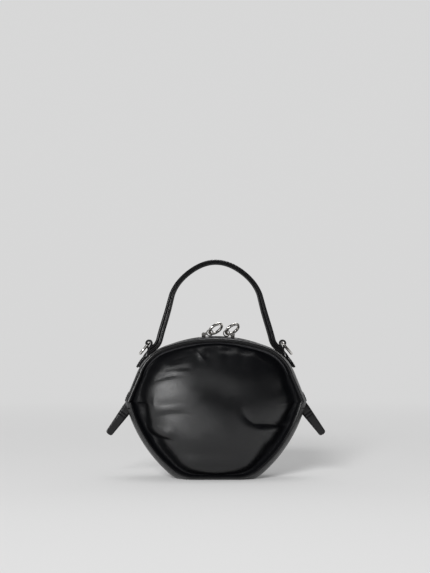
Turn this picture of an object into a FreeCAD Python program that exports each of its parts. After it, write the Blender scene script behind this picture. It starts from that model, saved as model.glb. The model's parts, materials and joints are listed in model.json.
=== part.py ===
import FreeCAD, Part
import math
import os

# Small round top-handle bag in soft leather. Millimetres, +Z up, front towards -Y.
# The origin is on the floor under the middle of the base.

# Body outline, seen from the front
body_height = 140.5
half_depth = 50.0
crown_radius = 150.0
crown_half_angle = 20.5
shoulder_radius = 46.0
side_angle = 67.5
waist_radius = 4.0
lower_angle = 105.0
lower_radius = 136.5
corner_angle = 139.0
corner_radius = 36.0

# Side strip: each section across the bag shrinks towards the seams as a rounded square does
puff_power = 3.0
puff_height_share = 0.498
base_sink = 3.4
section_angles = [0.0, 11.0, 25.0, 42.0, 58.0, 71.0]

# Puffed faces: each rises from a ledge inside its seam and closes in, lowest where it is fullest.
# Shares of the half depth, of the half width and of the height, from the ledge out.
face_depth_shares = [0.2, 0.44, 0.64, 0.74, 0.83, 0.9, 0.95]
face_width_shares = [0.826, 0.82, 0.772, 0.69, 0.565, 0.42, 0.24]
face_low_shares = [0.041, 0.041, 0.045, 0.066, 0.12, 0.19, 0.27]
face_high_shares = [0.934, 0.934, 0.931, 0.9, 0.832, 0.73, 0.58]

# Leather, seams and lining
leather = 1.6
strip_half_width = 29.0
strip_waist_half_width = 20.0
strip_waist_drop = 4.5
strip_join_drop = 5.5
piping_proud = 1.4
piping_half_width = 1.2
floor_clearance = 0.3
lining_gap = 1.9
lining = 0.8

# Base board and slip pocket
board_half_length = 22.0
board_half_width = 21.0
board_thickness = 1.3
board_corner = 6.0
pocket_half_width = 40.0
pocket_bottom = 36.0
pocket_top = 92.0
pocket_inner_y = 20.0

# Zip
zip_gap = 5.5
zip_lining_gap = 7.5
zip_depth = 2.45
tape_thickness = 0.6
tape_half_width = 10.5
zip_end_margin = 3.0
tooth_pitch = 2.6
tooth_length = 1.4
tooth_height = 2.4
tooth_reach = 1.9
chain_slit = 0.7
stop_length = 2.2

# Sliders
slider_length = 10.0
slider_half_width = 4.4
slider_top_plate = 1.4
slider_bottom_plate = 1.2
slider_wedge_length = 3.0
slider_wedge_half = 0.35
slider_left_x = -12.0
slider_right_x = 16.7
ear_thickness = 1.0
ear_radius = 1.9
ear_rise = 3.0
pin_radius = 0.8

# Pull links and rings
link_half_thickness = 0.8
link_pin_eye = 2.0
link_ring_eye = 3.6
link_ring_bore = 2.45
link_web_half = 1.4
link_reach = 6.5
link_angle_left = 14.0
link_angle_right = 166.0
ring_radius = 7.1
ring_wire = 1.45
ring_angle = 35.0
ring_tilt_angle = 60.0

# Handle strap, sewn to the back half of the shoulders
handle_rise = 78.5
handle_width = 12.0
handle_y = 14.5
handle_layer = 1.6
handle_lean_angle = 75.5
handle_join_angle = 32.0
handle_bend_radius = 15.0
handle_pad_angle = 33.0
handle_tongue_angle = 62.0
handle_seat = 0.2
handle_pivot_rise = 5.5
handle_swing_angle = 70.0

# Ring chapes and D-rings
chape_width = 10.0
chape_half_thickness = 1.0
chape_join_angle = 43.0
chape_end_angle = 63.0
chape_bend_radius = 8.0
chape_neck_angle = 88.0
chape_neck = 2.8
chape_bore = 1.8
chape_loop = 3.8
d_ring_wire = 1.4
d_ring_half_width = 6.9
d_ring_corner = 2.0
d_ring_leg = 7.0
d_ring_hang_angle = 40.0

# Zip-end tabs
tab_root_inset = 1.04
tab_root_drop = 8.2
tab_slope_angle = 53.5
tab_length = 31.0
tab_root_half = 5.25
tab_tip_half = 3.5
tab_tip_corner = 2.2
tab_half_thickness = 1.7
tab_inset = 6.0
tab_pivot = 9.0
tab_swing_angle = 20.0

# Shared clearances
running_gap = 0.3
overrun = 5.0
reach = 160.0


def cos_of(angle):
    return math.cos(math.radians(angle))


def sin_of(angle):
    return math.sin(math.radians(angle))


def point(x, z, y=0.0):
    return FreeCAD.Vector(x, y, z)


def advance(place, segment):
    """One step along a path: place is x, z and heading, clockwise from +X; a turn is +right."""
    x, z, heading = place
    kind, size, sweep = segment
    if kind == "line":
        return x + size * cos_of(heading), z - size * sin_of(heading), heading
    side = math.copysign(1.0, sweep)
    turned = heading + sweep
    x += side * size * (sin_of(turned) - sin_of(heading))
    z += side * size * (cos_of(turned) - cos_of(heading))
    return x, z, turned


def beside(place, offset):
    """The point at an offset to the left of a place on a path."""
    x, z, heading = place
    return point(x + offset * sin_of(heading), z + offset * cos_of(heading))


def trace(start, segments, offset):
    """Edges of a path of lines and tangent arcs, moved to its left by offset, and its last place."""
    edges = []
    place = start
    for segment in segments:
        kind, size, sweep = segment
        after = advance(place, segment)
        ends = beside(place, offset), beside(after, offset)
        if kind == "line":
            edges.append(Part.LineSegment(*ends).toShape())
        else:
            middle = advance(place, (kind, size, sweep / 2))
            edges.append(Part.Arc(ends[0], beside(middle, offset), ends[1]).toShape())
        place = after
    return edges, place


def line(length):
    return "line", length, 0.0


def turn(radius, sweep):
    return "turn", radius, sweep


def ribbon(start, segments, low, high, y_low, y_high):
    """A strip between two offsets of one path, extruded along Y."""
    inner, last = trace(start, segments, low)
    outer, last = trace(start, segments, high)
    ends = [
        Part.LineSegment(beside(start, low), beside(start, high)).toShape(),
        Part.LineSegment(beside(last, low), beside(last, high)).toShape(),
    ]
    wire = Part.Wire(Part.__sortEdges__(inner + outer + ends))
    face = Part.Face(wire)
    face.translate(FreeCAD.Vector(0, y_low, 0))
    return face.extrude(FreeCAD.Vector(0, y_high - y_low, 0))


def box(x_low, x_high, y_low, y_high, z_low, z_high):
    corner = FreeCAD.Vector(x_low, y_low, z_low)
    return Part.makeBox(x_high - x_low, y_high - y_low, z_high - z_low, corner)


def y_cylinder(radius, place, y_low, y_high):
    base = FreeCAD.Vector(place.x, y_low, place.z)
    return Part.makeCylinder(radius, y_high - y_low, base, FreeCAD.Vector(0, 1, 0))


def mirrored(shape):
    return shape.mirror(FreeCAD.Vector(0, 0, 0), FreeCAD.Vector(1, 0, 0))


def save(name, shape):
    shape.exportStep("parts/" + name + ".step")


def save_pair(name, right):
    save(name + "_right", right)
    save(name + "_left", mirrored(right))


# Outline of the body: crown, shoulder, side, waist, lower side and base corner, from the top round
# to the base. The side's length takes up what the other drops leave of the height.
other_drops = (
    crown_radius * (1 - cos_of(crown_half_angle))
    + shoulder_radius * (cos_of(crown_half_angle) - cos_of(side_angle))
    + waist_radius * (cos_of(side_angle) - cos_of(lower_angle))
    + lower_radius * (cos_of(lower_angle) - cos_of(corner_angle))
    + corner_radius * (cos_of(corner_angle) + 1)
)
side_length = (body_height - other_drops) / sin_of(side_angle)
top_place = (0.0, body_height, 0.0)
upper_half = [
    turn(crown_radius, crown_half_angle),
    turn(shoulder_radius, side_angle - crown_half_angle),
    line(side_length),
]
lower_half = [
    turn(waist_radius, lower_angle - side_angle),
    turn(lower_radius, corner_angle - lower_angle),
    turn(corner_radius, 180.0 - corner_angle),
]
side_place = trace(top_place, upper_half, 0.0)[1]
waist_place = advance(side_place, lower_half[0])
base_place = trace(side_place, lower_half, 0.0)[1]
half_width = side_place[0]
right_outline = upper_half + lower_half
outline = right_outline + [line(2 * base_place[0])] + right_outline[::-1]
outline_wire = Part.Wire(trace(top_place, outline, 0.0)[0])
crown_centre_z = body_height - crown_radius
puff_height = puff_height_share * body_height
strip_waist_height = waist_place[1] - strip_waist_drop
strip_join_height = waist_place[1] - strip_join_drop


def section(y_share, width_share, low, high, depth):
    """The outline at one place across the bag, drawn in by depth all round."""
    stretch = FreeCAD.Matrix()
    stretch.A11 = width_share - depth / half_width
    stretch.A33 = (high - low - 2 * depth) / body_height
    stretch.A34 = low + depth
    stretch.A24 = y_share * (half_depth - depth)
    return Part.Wire(outline_wire.transformGeometry(stretch).Edges)


def body_section(angle, side, depth):
    """A section of the plain body.

    Along the angle, place and size follow a rounded square: sine and cosine to the power 2 / puff_power.
    """
    place = sin_of(angle) ** (2 / puff_power)
    size = cos_of(angle) ** (2 / puff_power)
    low = puff_height - (puff_height + base_sink) * size
    high = puff_height + (body_height - puff_height) * size
    return section(side * place, size, low, high, depth)


def body(depth):
    """The plain body as one solid, drawn in by depth, cut flat where it stands."""
    back = [body_section(angle, 1, depth) for angle in section_angles]
    front = [body_section(angle, -1, depth) for angle in section_angles[:0:-1]]
    loft = Part.makeLoft(front + back, True, False)
    return loft.cut(box(-reach, reach, -reach, reach, -reach, depth))


def face(side, depth):
    """One puffed face as a solid, from inside the side strip out to where it is fullest."""
    shares = zip(face_depth_shares, face_width_shares, face_low_shares, face_high_shares)
    sections = [
        section(side * far, wide, low * body_height, high * body_height, depth)
        for far, wide, low, high in shares
    ]
    return Part.makeLoft(sections, True, False)


def bag(depth):
    """The whole bag as one solid, drawn in by depth: the body between its seams, and both faces."""
    middle = body(depth).common(strip(-depth))
    return middle.fuse([face(-1, depth), face(1, depth)])


def strip(grow):
    """The space between the two long seams: wide at crown and base, drawn in at the waist."""
    high = body_height + overrun
    wide = strip_half_width + grow
    narrow = strip_waist_half_width + grow
    corners = [(wide, -overrun), (wide, high), (-wide, high), (-wide, -overrun)]
    low_right, high_right, high_left, low_left = [FreeCAD.Vector(-reach, y, z) for y, z in corners]
    waist_right = FreeCAD.Vector(-reach, narrow, strip_waist_height)
    waist_left = FreeCAD.Vector(-reach, -narrow, strip_waist_height)
    edges = [
        Part.Arc(low_right, waist_right, high_right).toShape(),
        Part.LineSegment(high_right, high_left).toShape(),
        Part.Arc(high_left, waist_left, low_left).toShape(),
        Part.LineSegment(low_left, low_right).toShape(),
    ]
    return Part.Face(Part.Wire(edges)).extrude(FreeCAD.Vector(2 * reach, 0, 0))


def half_space_y(y_low, y_high, z_low=-reach, z_high=reach):
    return box(-reach, reach, y_low, y_high, z_low, z_high)


def shell_pieces():
    """Leather panels, side strip, piping, lining and pocket."""
    outside = bag(0.0)
    wall = outside.cut(bag(leather))
    strip_space = strip(-leather)
    faces = wall.cut(strip_space)
    save("front_panel", faces.common(half_space_y(-reach, 0.0)))
    save("back_panel", faces.common(half_space_y(0.0, reach)))
    loop = wall.common(strip_space)
    save("bottom_gusset", loop.common(half_space_y(-reach, reach, -reach, strip_join_height)))
    front_room = half_space_y(-reach, -zip_gap, strip_join_height)
    back_room = half_space_y(zip_gap, reach, strip_join_height)
    save("zip_facing_front", loop.common(front_room))
    save("zip_facing_back", loop.common(back_room))

    seam = strip(piping_half_width).cut(strip(-piping_half_width))
    cord_space = body(-piping_proud).cut(body(piping_proud))
    piping = cord_space.cut(outside).common(seam)
    save("front_piping", piping.common(half_space_y(-reach, 0.0, floor_clearance)))
    save("back_piping", piping.common(half_space_y(0.0, reach, floor_clearance)))

    lining_depth = leather + lining_gap
    inside = bag(lining_depth + lining)
    lining_wall = bag(lining_depth).cut(inside)
    zip_slot = half_space_y(-zip_lining_gap, zip_lining_gap, strip_join_height)
    lining_wall = lining_wall.cut(zip_slot)
    save("front_lining", lining_wall.common(half_space_y(-reach, 0.0)))
    save("back_lining", lining_wall.common(half_space_y(0.0, reach)))

    pocket_room = box(
        -pocket_half_width, pocket_half_width, pocket_inner_y, reach, pocket_bottom, pocket_top
    )
    pocket_depth = lining_depth + lining
    pocket = inside.cut(bag(pocket_depth + lining)).common(pocket_room)
    save("slip_pocket", pocket)
    return outside


def base_board():
    board = box(
        -board_half_length, board_half_length, -board_half_width, board_half_width,
        leather, leather + board_thickness,
    )
    uprights = [edge for edge in board.Edges if abs(edge.tangentAt(edge.FirstParameter).z) > 0.5]
    save("base_board", board.makeFillet(board_corner, uprights))


# Path of the zip: from the left side over the crown to the right side
zip_side = side_length - zip_end_margin
zip_half = upper_half[:2] + [line(zip_side)]
zip_end = trace(top_place, zip_half, 0.0)[1]
zip_start = (-zip_end[0], zip_end[1], -side_angle)
zip_path = [
    line(zip_side),
    turn(shoulder_radius, side_angle - crown_half_angle),
    turn(crown_radius, 2 * crown_half_angle),
    turn(shoulder_radius, side_angle - crown_half_angle),
    line(zip_side),
]
chain_middle = -zip_depth - tape_thickness / 2
chain_half_width = chain_slit + tooth_reach


def path_lengths(path):
    return [size if kind == "line" else size * math.radians(sweep) for kind, size, sweep in path]


def place_at(start, path, distance):
    """The place at a distance along a path."""
    place = start
    for segment, length in zip(path, path_lengths(path)):
        kind, size, sweep = segment
        if distance <= length:
            share = distance / length
            part = line(size * share) if kind == "line" else turn(size, sweep * share)
            return advance(place, part)
        place = advance(place, segment)
        distance -= length
    return place


def chain_block(distance, length, y_low, y_high):
    """A block of the chain, set square to the zip's path."""
    place = place_at(zip_start, zip_path, distance)
    block = box(-length / 2, length / 2, y_low, y_high, -tooth_height / 2, tooth_height / 2)
    block.rotate(FreeCAD.Vector(0, 0, 0), FreeCAD.Vector(0, 1, 0), place[2])
    block.translate(beside(place, chain_middle))
    return block


def zip_chain():
    """Tapes, rows of teeth that step past each other, and the stops at the ends."""
    total = sum(path_lengths(zip_path))
    low, high = -zip_depth - tape_thickness, -zip_depth
    save("zip_tape_front", ribbon(zip_start, zip_path, low, high, -tape_half_width, -chain_half_width))
    save("zip_tape_back", ribbon(zip_start, zip_path, low, high, chain_half_width, tape_half_width))
    count = int((total - 2 * stop_length - tooth_pitch) / tooth_pitch)
    first = (total - (count - 1) * tooth_pitch) / 2
    shift = tooth_pitch / 4
    spots = [first + index * tooth_pitch for index in range(count)]
    front = [chain_block(at - shift, tooth_length, -chain_half_width, -chain_slit) for at in spots]
    back = [chain_block(at + shift, tooth_length, chain_slit, chain_half_width) for at in spots]
    save("zip_teeth_front", Part.makeCompound(front))
    save("zip_teeth_back", Part.makeCompound(back))
    stops = []
    for at in (stop_length / 2, total - stop_length / 2):
        stops.append(chain_block(at, stop_length, -chain_half_width, chain_half_width))
    save("zip_end_stops", Part.makeCompound(stops))


# Slider levels, measured outwards from the crown's surface
plate_low = chain_middle + tooth_height / 2 + running_gap
plate_high = plate_low + slider_top_plate
under_high = chain_middle - tooth_height / 2 - running_gap
under_low = under_high - slider_bottom_plate
pin_level = plate_high + ear_rise
crown_axis = point(0, crown_centre_z)


def crown_place(angle):
    """A place on the crown's arc, at an angle from the top."""
    return crown_radius * sin_of(angle), crown_centre_z + crown_radius * cos_of(angle), angle


def crown_sector(length, low, high, half, centre):
    """A block that follows the crown's arc, from low to high, centred on a length along it."""
    start = crown_place(math.degrees((centre - length / 2) / crown_radius))
    sweep = math.degrees(length / crown_radius)
    return ribbon(start, [turn(crown_radius, sweep)], low, high, -half, half)


def slider_turn(x):
    return math.degrees(math.asin(x / crown_radius))


def slider(x, inner_side):
    """Two plates joined by a wedge at the inner end, with ears and a pin for the pull."""
    top_plate = crown_sector(slider_length, plate_low, plate_high, slider_half_width, 0.0)
    under_plate = crown_sector(slider_length, under_low, under_high, slider_half_width, 0.0)
    wedge_at = inner_side * (slider_length - slider_wedge_length) / 2
    wedge = crown_sector(slider_wedge_length, under_high, plate_low, slider_wedge_half, wedge_at)
    ear_inner = link_half_thickness + running_gap
    ear_outer = ear_inner + ear_thickness
    deck = body_height + plate_high
    pin = point(0.0, body_height + pin_level)
    foot = box(-ear_radius, ear_radius, -ear_outer, ear_outer, deck - slider_top_plate / 2, pin.z)
    head = y_cylinder(ear_radius, pin, -ear_outer, ear_outer)
    slot = box(-2 * ear_radius, 2 * ear_radius, -ear_inner, ear_inner, deck, pin.z + 2 * ear_radius)
    ears = foot.fuse(head).cut(slot)
    pin_bar = y_cylinder(pin_radius, pin, -ear_outer, ear_outer)
    whole = top_plate.fuse([under_plate, wedge, ears, pin_bar]).removeSplitter()
    whole.rotate(crown_axis, FreeCAD.Vector(0, 1, 0), slider_turn(x))
    return whole


def pin_point(x):
    return beside(crown_place(slider_turn(x)), pin_level)


def along(start, angle, distance):
    """A point at a distance from another, at an angle above +X in the front view."""
    return point(start.x + distance * cos_of(angle), start.z + distance * sin_of(angle))


def pull_link(pin, angle):
    """A flat link with a small eye on the slider's pin and a large one for the ring."""
    half = link_half_thickness
    far = along(pin, angle, link_reach)
    web = box(0.0, link_reach, -half, half, -link_web_half, link_web_half)
    web.rotate(FreeCAD.Vector(0, 0, 0), FreeCAD.Vector(0, 1, 0), -angle)
    web.translate(pin)
    link = web.fuse([y_cylinder(link_pin_eye, pin, -half, half), y_cylinder(link_ring_eye, far, -half, half)])
    link = link.cut(y_cylinder(pin_radius + running_gap, pin, -half, half))
    return link.cut(y_cylinder(link_ring_bore, far, -half, half)).removeSplitter()


def pull_ring(pin, angle):
    """A round ring through the link's eye, leaning over on its side."""
    eye = along(pin, angle, link_reach)
    centre = along(eye, ring_angle, ring_radius)
    lean = FreeCAD.Rotation(FreeCAD.Vector(cos_of(ring_angle), 0, sin_of(ring_angle)), ring_tilt_angle)
    return Part.makeTorus(ring_radius, ring_wire, centre, lean.multVec(FreeCAD.Vector(0, 1, 0)))


def zip_pulls():
    sides = [("left", slider_left_x, 1, link_angle_left), ("right", slider_right_x, -1, link_angle_right)]
    for name, x, inner_side, angle in sides:
        pin = pin_point(x)
        save("slider_" + name, slider(x, inner_side))
        save("pull_link_" + name, pull_link(pin, angle))
        save("pull_ring_" + name, pull_ring(pin, angle))


# Handle path: an arc over the top, straight legs, a bend outwards at the root, and the shoulder
handle_top = body_height + handle_rise
handle_pivot_height = body_height + handle_pivot_rise
handle_thickness = 3 * handle_layer
handle_lift = handle_seat + handle_thickness / 2
shoulder_place = advance(top_place, upper_half[0])
seat_radius = shoulder_radius + handle_lift
shoulder_join = advance(shoulder_place, turn(shoulder_radius, handle_join_angle - crown_half_angle))
handle_foot = beside(shoulder_join, handle_lift)
across = handle_foot.x - handle_bend_radius * (sin_of(handle_lean_angle) - sin_of(handle_join_angle))
drop = handle_top - handle_thickness / 2 - handle_foot.z
drop += handle_bend_radius * (cos_of(handle_lean_angle) - cos_of(handle_join_angle))
slack = 1 - cos_of(handle_lean_angle)
handle_arc = (across * sin_of(handle_lean_angle) - drop * cos_of(handle_lean_angle)) / slack
handle_leg = (drop * sin_of(handle_lean_angle) - across * slack) / slack
handle_crest = (0.0, handle_top - handle_thickness / 2, 0.0)
leg_place = advance(handle_crest, turn(handle_arc, handle_lean_angle))
leg_foot = advance(leg_place, line(handle_leg))
handle_low_y = handle_y - handle_width / 2
handle_high_y = handle_y + handle_width / 2


def handle_band(start, segments, low, high):
    return ribbon(start, segments, low, high, handle_low_y, handle_high_y)


def handle_pivot_drum(radius):
    base = FreeCAD.Vector(-reach, handle_y, handle_pivot_height)
    return Part.makeCylinder(radius, 2 * reach, base, FreeCAD.Vector(1, 0, 0))


def handle_pieces():
    """The free strap in three layers, round at its lower ends, and the sewn ends below it."""
    start = (-leg_foot[0], leg_foot[1], -handle_lean_angle)
    path = [line(handle_leg), turn(handle_arc, 2 * handle_lean_angle), line(handle_leg)]
    above = box(-reach, reach, -reach, reach, handle_pivot_height, handle_top + overrun)
    free_room = above.fuse(handle_pivot_drum(handle_width / 2))
    names = ["handle_lining", "handle_core", "handle_strap"]
    for index, name in enumerate(names):
        low = index * handle_layer - handle_thickness / 2
        save(name, handle_band(start, path, low, low + handle_layer).common(free_room))

    bend = turn(handle_bend_radius, handle_join_angle - handle_lean_angle)
    padded = [line(handle_leg), bend, turn(seat_radius, handle_pad_angle - handle_join_angle)]
    tongue = [line(handle_leg), bend, turn(seat_radius, handle_tongue_angle - handle_join_angle)]
    low = -handle_thickness / 2
    end = handle_band(leg_place, padded, low, -low)
    end = end.fuse(handle_band(leg_place, tongue, low, low + handle_layer)).removeSplitter()
    end = end.cut(handle_pivot_drum(handle_width / 2 + running_gap))
    pivot = FreeCAD.Vector(0, handle_y, handle_pivot_height)
    half = handle_width / 2 + running_gap
    for angle in (-handle_swing_angle, 0, handle_swing_angle):
        room = box(-reach, reach, -half, half, 0.0, handle_top)
        room.rotate(FreeCAD.Vector(0, 0, 0), FreeCAD.Vector(1, 0, 0), angle)
        room.translate(pivot)
        end = end.cut(room)
    save_pair("handle_end", end)


chape_lift = handle_seat + handle_layer + running_gap + chape_half_thickness


def chape_and_ring():
    """A leather loop sewn over the strap's tongue, with a D-ring hanging from it."""
    low_y, high_y = handle_y - chape_width / 2, handle_y + chape_width / 2
    join = advance(shoulder_place, turn(shoulder_radius, chape_join_angle - crown_half_angle))
    seat = beside(join, chape_lift)
    down = (seat.x, seat.z, chape_join_angle)
    tail = ribbon(
        down, [turn(shoulder_radius + chape_lift, chape_end_angle - chape_join_angle)],
        -chape_half_thickness, chape_half_thickness, low_y, high_y,
    )
    up = (seat.x, seat.z, chape_join_angle + 180.0)
    rise = [turn(chape_bend_radius, chape_neck_angle - chape_join_angle), line(chape_neck)]
    neck = ribbon(up, rise, -chape_half_thickness, chape_half_thickness, low_y, high_y)
    neck_end = trace(up, rise, 0.0)[1]
    loop = beside(advance(neck_end, line(chape_bore)), 0.0)
    ring = y_cylinder(chape_loop, loop, low_y, high_y)
    chape = tail.fuse([neck, ring]).removeSplitter()
    save_pair("ring_chape", chape.cut(y_cylinder(chape_bore, loop, low_y, high_y)))

    def local(y, fall):
        x = loop.x + fall * sin_of(d_ring_hang_angle)
        return FreeCAD.Vector(x, handle_y + y, loop.z - fall * cos_of(d_ring_hang_angle))

    wide, round_in = d_ring_half_width, d_ring_corner
    bite = round_in * (1 - cos_of(45.0))
    bar = wide - round_in
    edges = [
        Part.LineSegment(local(0.0, 0.0), local(bar, 0.0)).toShape(),
        Part.Arc(local(bar, 0.0), local(wide - bite, bite), local(wide, round_in)).toShape(),
        Part.LineSegment(local(wide, round_in), local(wide, d_ring_leg)).toShape(),
        Part.Arc(local(wide, d_ring_leg), local(0.0, d_ring_leg + wide), local(-wide, d_ring_leg)).toShape(),
        Part.LineSegment(local(-wide, d_ring_leg), local(-wide, round_in)).toShape(),
        Part.Arc(local(-wide, round_in), local(bite - wide, bite), local(-bar, 0.0)).toShape(),
        Part.LineSegment(local(-bar, 0.0), local(0.0, 0.0)).toShape(),
    ]
    circle = Part.Circle(local(0.0, 0.0), FreeCAD.Vector(0, 1, 0), d_ring_wire)
    spine = Part.Wire(edges)
    save_pair("d_ring", spine.makePipeShell([Part.Wire(circle.toShape())], True, False))


def tab_pieces(outside):
    """A flat tab over each zip end: a root sewn to the side, and a free end that bends at it."""
    root = point(waist_place[0] - tab_root_inset, waist_place[1] - tab_root_drop)
    taper = (tab_root_half - tab_tip_half) / tab_length
    pivot_half = tab_root_half - taper * tab_pivot

    def flat(points):
        wire = Part.makePolygon([FreeCAD.Vector(a, -tab_half_thickness, b) for a, b in points + points[:1]])
        return Part.Face(wire).extrude(FreeCAD.Vector(0, 2 * tab_half_thickness, 0))

    def lay(shape):
        shape.rotate(FreeCAD.Vector(0, 0, 0), FreeCAD.Vector(0, 1, 0), tab_slope_angle)
        shape.translate(root)
        return shape

    def room(shape, angle):
        turned = shape.copy()
        turned.rotate(FreeCAD.Vector(tab_pivot, 0, 0), FreeCAD.Vector(0, 1, 0), angle)
        return turned

    blade = flat([
        (tab_pivot, -pivot_half), (tab_length, -tab_tip_half),
        (tab_length, tab_tip_half), (tab_pivot, pivot_half),
    ])
    tips = [
        edge for edge in blade.Edges
        if edge.CenterOfMass.x > tab_length - tab_tip_corner and abs(edge.CenterOfMass.z) > tab_tip_half / 2
        and abs(edge.tangentAt(edge.FirstParameter).y) > 0.5
    ]
    blade = blade.makeFillet(tab_tip_corner, tips)
    hub = point(tab_pivot, 0.0)
    thick = tab_half_thickness
    flap = blade.fuse(y_cylinder(pivot_half, hub, -thick, thick)).removeSplitter()
    save_pair("zip_tab", lay(flap))

    stub = flat([
        (-tab_inset, -tab_root_half), (tab_pivot, -pivot_half),
        (tab_pivot, pivot_half), (-tab_inset, tab_root_half),
    ])
    half = pivot_half + running_gap
    stub = stub.cut(y_cylinder(half, hub, -thick, thick))
    clear = box(tab_pivot, tab_length + overrun, -thick, thick, -half, half)
    for angle in (-tab_swing_angle, 0.0, tab_swing_angle):
        stub = stub.cut(room(clear, angle))
    save_pair("tab_root", lay(stub).cut(outside))


def main():
    os.makedirs("parts", exist_ok=True)
    outside = shell_pieces()
    base_board()
    zip_chain()
    zip_pulls()
    handle_pieces()
    chape_and_ring()
    tab_pieces(outside)


main()
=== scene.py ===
import json
import math

import bpy
import numpy as np
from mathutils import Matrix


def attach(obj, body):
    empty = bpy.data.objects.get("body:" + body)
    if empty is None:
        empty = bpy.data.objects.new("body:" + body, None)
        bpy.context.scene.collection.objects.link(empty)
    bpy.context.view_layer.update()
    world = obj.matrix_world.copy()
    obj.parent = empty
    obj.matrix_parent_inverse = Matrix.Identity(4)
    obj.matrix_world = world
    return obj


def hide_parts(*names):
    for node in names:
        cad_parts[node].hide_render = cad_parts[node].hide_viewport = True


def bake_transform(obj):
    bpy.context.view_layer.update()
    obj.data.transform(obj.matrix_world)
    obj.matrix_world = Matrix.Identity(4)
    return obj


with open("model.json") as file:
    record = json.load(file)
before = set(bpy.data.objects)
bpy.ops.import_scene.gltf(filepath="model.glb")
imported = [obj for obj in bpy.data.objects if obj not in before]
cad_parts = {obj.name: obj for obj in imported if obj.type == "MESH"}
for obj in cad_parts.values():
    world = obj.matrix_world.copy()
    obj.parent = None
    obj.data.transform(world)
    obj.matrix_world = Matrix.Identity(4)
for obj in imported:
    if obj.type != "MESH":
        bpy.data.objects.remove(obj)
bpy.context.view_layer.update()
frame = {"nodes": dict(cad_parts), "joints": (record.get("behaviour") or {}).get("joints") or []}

bl_info = {
    "name": "Circle bag",
    "version": (1, 0, 0),
    "blender": (4, 5, 0),
    "location": "3D View > Sidebar > Circle bag",
    "description": "Dresses the frame of a small round top-handle bag in soft black leather",
    "category": "Object",
}

# Metres, +Z up, front towards -Y, as in the frame. Angles are in radians, and headings in the front view
# turn clockwise from +X.


def length(default, description):
    """A size in metres that shows in the sidebar."""
    return bpy.props.FloatProperty(default=default, description=description, unit="LENGTH", precision=5)


def angle(degrees, description):
    """An angle that shows in the sidebar, written in degrees."""
    return bpy.props.FloatProperty(default=math.radians(degrees), description=description, subtype="ANGLE")


def share(default, description):
    """A plain number from 0 to 1."""
    return bpy.props.FloatProperty(default=default, description=description, min=0.0, max=1.0,
                                   subtype="FACTOR")


def colour(default, description):
    """A linear colour."""
    return bpy.props.FloatVectorProperty(default=default, description=description, size=3, min=0.0, max=1.0,
                                         subtype="COLOR")


class BodySizes(bpy.types.PropertyGroup):
    """The round body: its outline in the front view, its depth and its seams."""

    height: length(0.1405, "From the floor to the crown")
    half_depth: length(0.05, "From the middle to a face, before the puff flattens")
    crown_radius: length(0.15, "Arc over the top")
    crown_angle: angle(20.5, "Half of the arc over the top")
    shoulder_radius: length(0.046, "Arc from the crown to the side")
    side_angle: angle(67.5, "Heading of the straight side")
    waist_radius: length(0.004, "Arc behind the tab")
    lower_angle: angle(105.0, "Heading below the tab")
    lower_radius: length(0.1365, "Arc of the lower side")
    corner_angle: angle(139.0, "Heading where the base corner begins")
    corner_radius: length(0.036, "Arc from the lower side to the base")
    puff_height: length(0.07, "Height that the faces draw in towards")
    base_sink: length(0.0034, "How much the base presses flat")
    seam_crown: length(0.029, "Half width of the side strip at crown and base")
    seam_waist: length(0.02, "Half width of the side strip at the waist")
    strip_join: length(0.071, "Height where the two lengths of side strip meet")
    zip_gap: length(0.0055, "From the zip's middle to the facing's edge")
    rim_fall: length(0.0042, "How much the side strip rounds over towards the seams")
    leather: length(0.0016, "Thickness of the panels")
    piping: length(0.0014, "Radius of the covered cord in the seams")


class PuffSizes(bpy.types.PropertyGroup):
    """The soft faces between the seams."""

    depth: length(0.0462, "From the middle to the face where it is fullest")
    belly: length(0.0026, "Extra fullness low on the face")
    belly_height: length(0.05, "Height of the fullest place")
    belly_spread: length(0.03, "How far the fullness spreads")
    valley: length(0.0042, "How far the leather dips behind the piping")
    gather: length(0.0009, "Depth of the small gathers along the seam")
    gather_reach: length(0.014, "How far the gathers run in from the seam")
    ripple: length(0.0005, "Slack waves in the face")


class TrimSizes(bpy.types.PropertyGroup):
    """Handle, chapes, rings and tabs."""

    strap_width: length(0.012, "Width of the handle")
    strap_y: length(0.0145, "Distance of the handle behind the middle")
    strap_thickness: length(0.0048, "The handle's three layers together")
    strap_top: length(0.219, "Height of the handle")
    strap_lean: angle(75.5, "Heading of the handle's legs")
    strap_join: angle(32.0, "Where the handle lands on the shoulder")
    strap_bend: length(0.015, "Radius of the bend at the handle's root")
    strap_tongue: angle(62.0, "Where the sewn tongue ends on the shoulder")
    strap_pivot: length(0.146, "Height at which the handle bends")
    chape_width: length(0.01, "Width of the loop that holds a D-ring")
    chape_bore: length(0.0018, "Radius inside the loop")
    chape_join: angle(43.0, "Where the chape lifts off the shoulder")
    chape_end: angle(63.0, "Where the chape's sewn tail ends")
    chape_bend: length(0.008, "Radius of the bend into the loop")
    chape_neck: length(0.0028, "Straight stretch below the loop")
    chape_neck_angle: angle(88.0, "Heading of the neck")
    d_ring_wire: length(0.0014, "Radius of the wire")
    d_ring_half: length(0.0069, "To the middle of the wire")
    d_ring_corner: length(0.002, "Bend from the bar to a leg")
    d_ring_leg: length(0.007, "From the bar to the bow")
    d_ring_hang: angle(40.0, "Lean from straight down")
    pull_radius: length(0.0071, "Ring pull, to the middle of its wire")
    pull_wire: length(0.00145, "Radius of the wire")
    pull_angle: angle(35.0, "Rise of the ring pulls in the front view")
    pull_tilt: angle(60.0, "How far the ring pulls lean over")
    tab_slope: angle(53.5, "How steeply the side tabs fall")
    tab_length: length(0.031, "Free length of a side tab")
    tab_root_half: length(0.00525, "At the side of the bag")
    tab_tip_half: length(0.0035, "At the free end")
    tab_half_thickness: length(0.0017, "Half of the tab's two layers")


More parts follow.
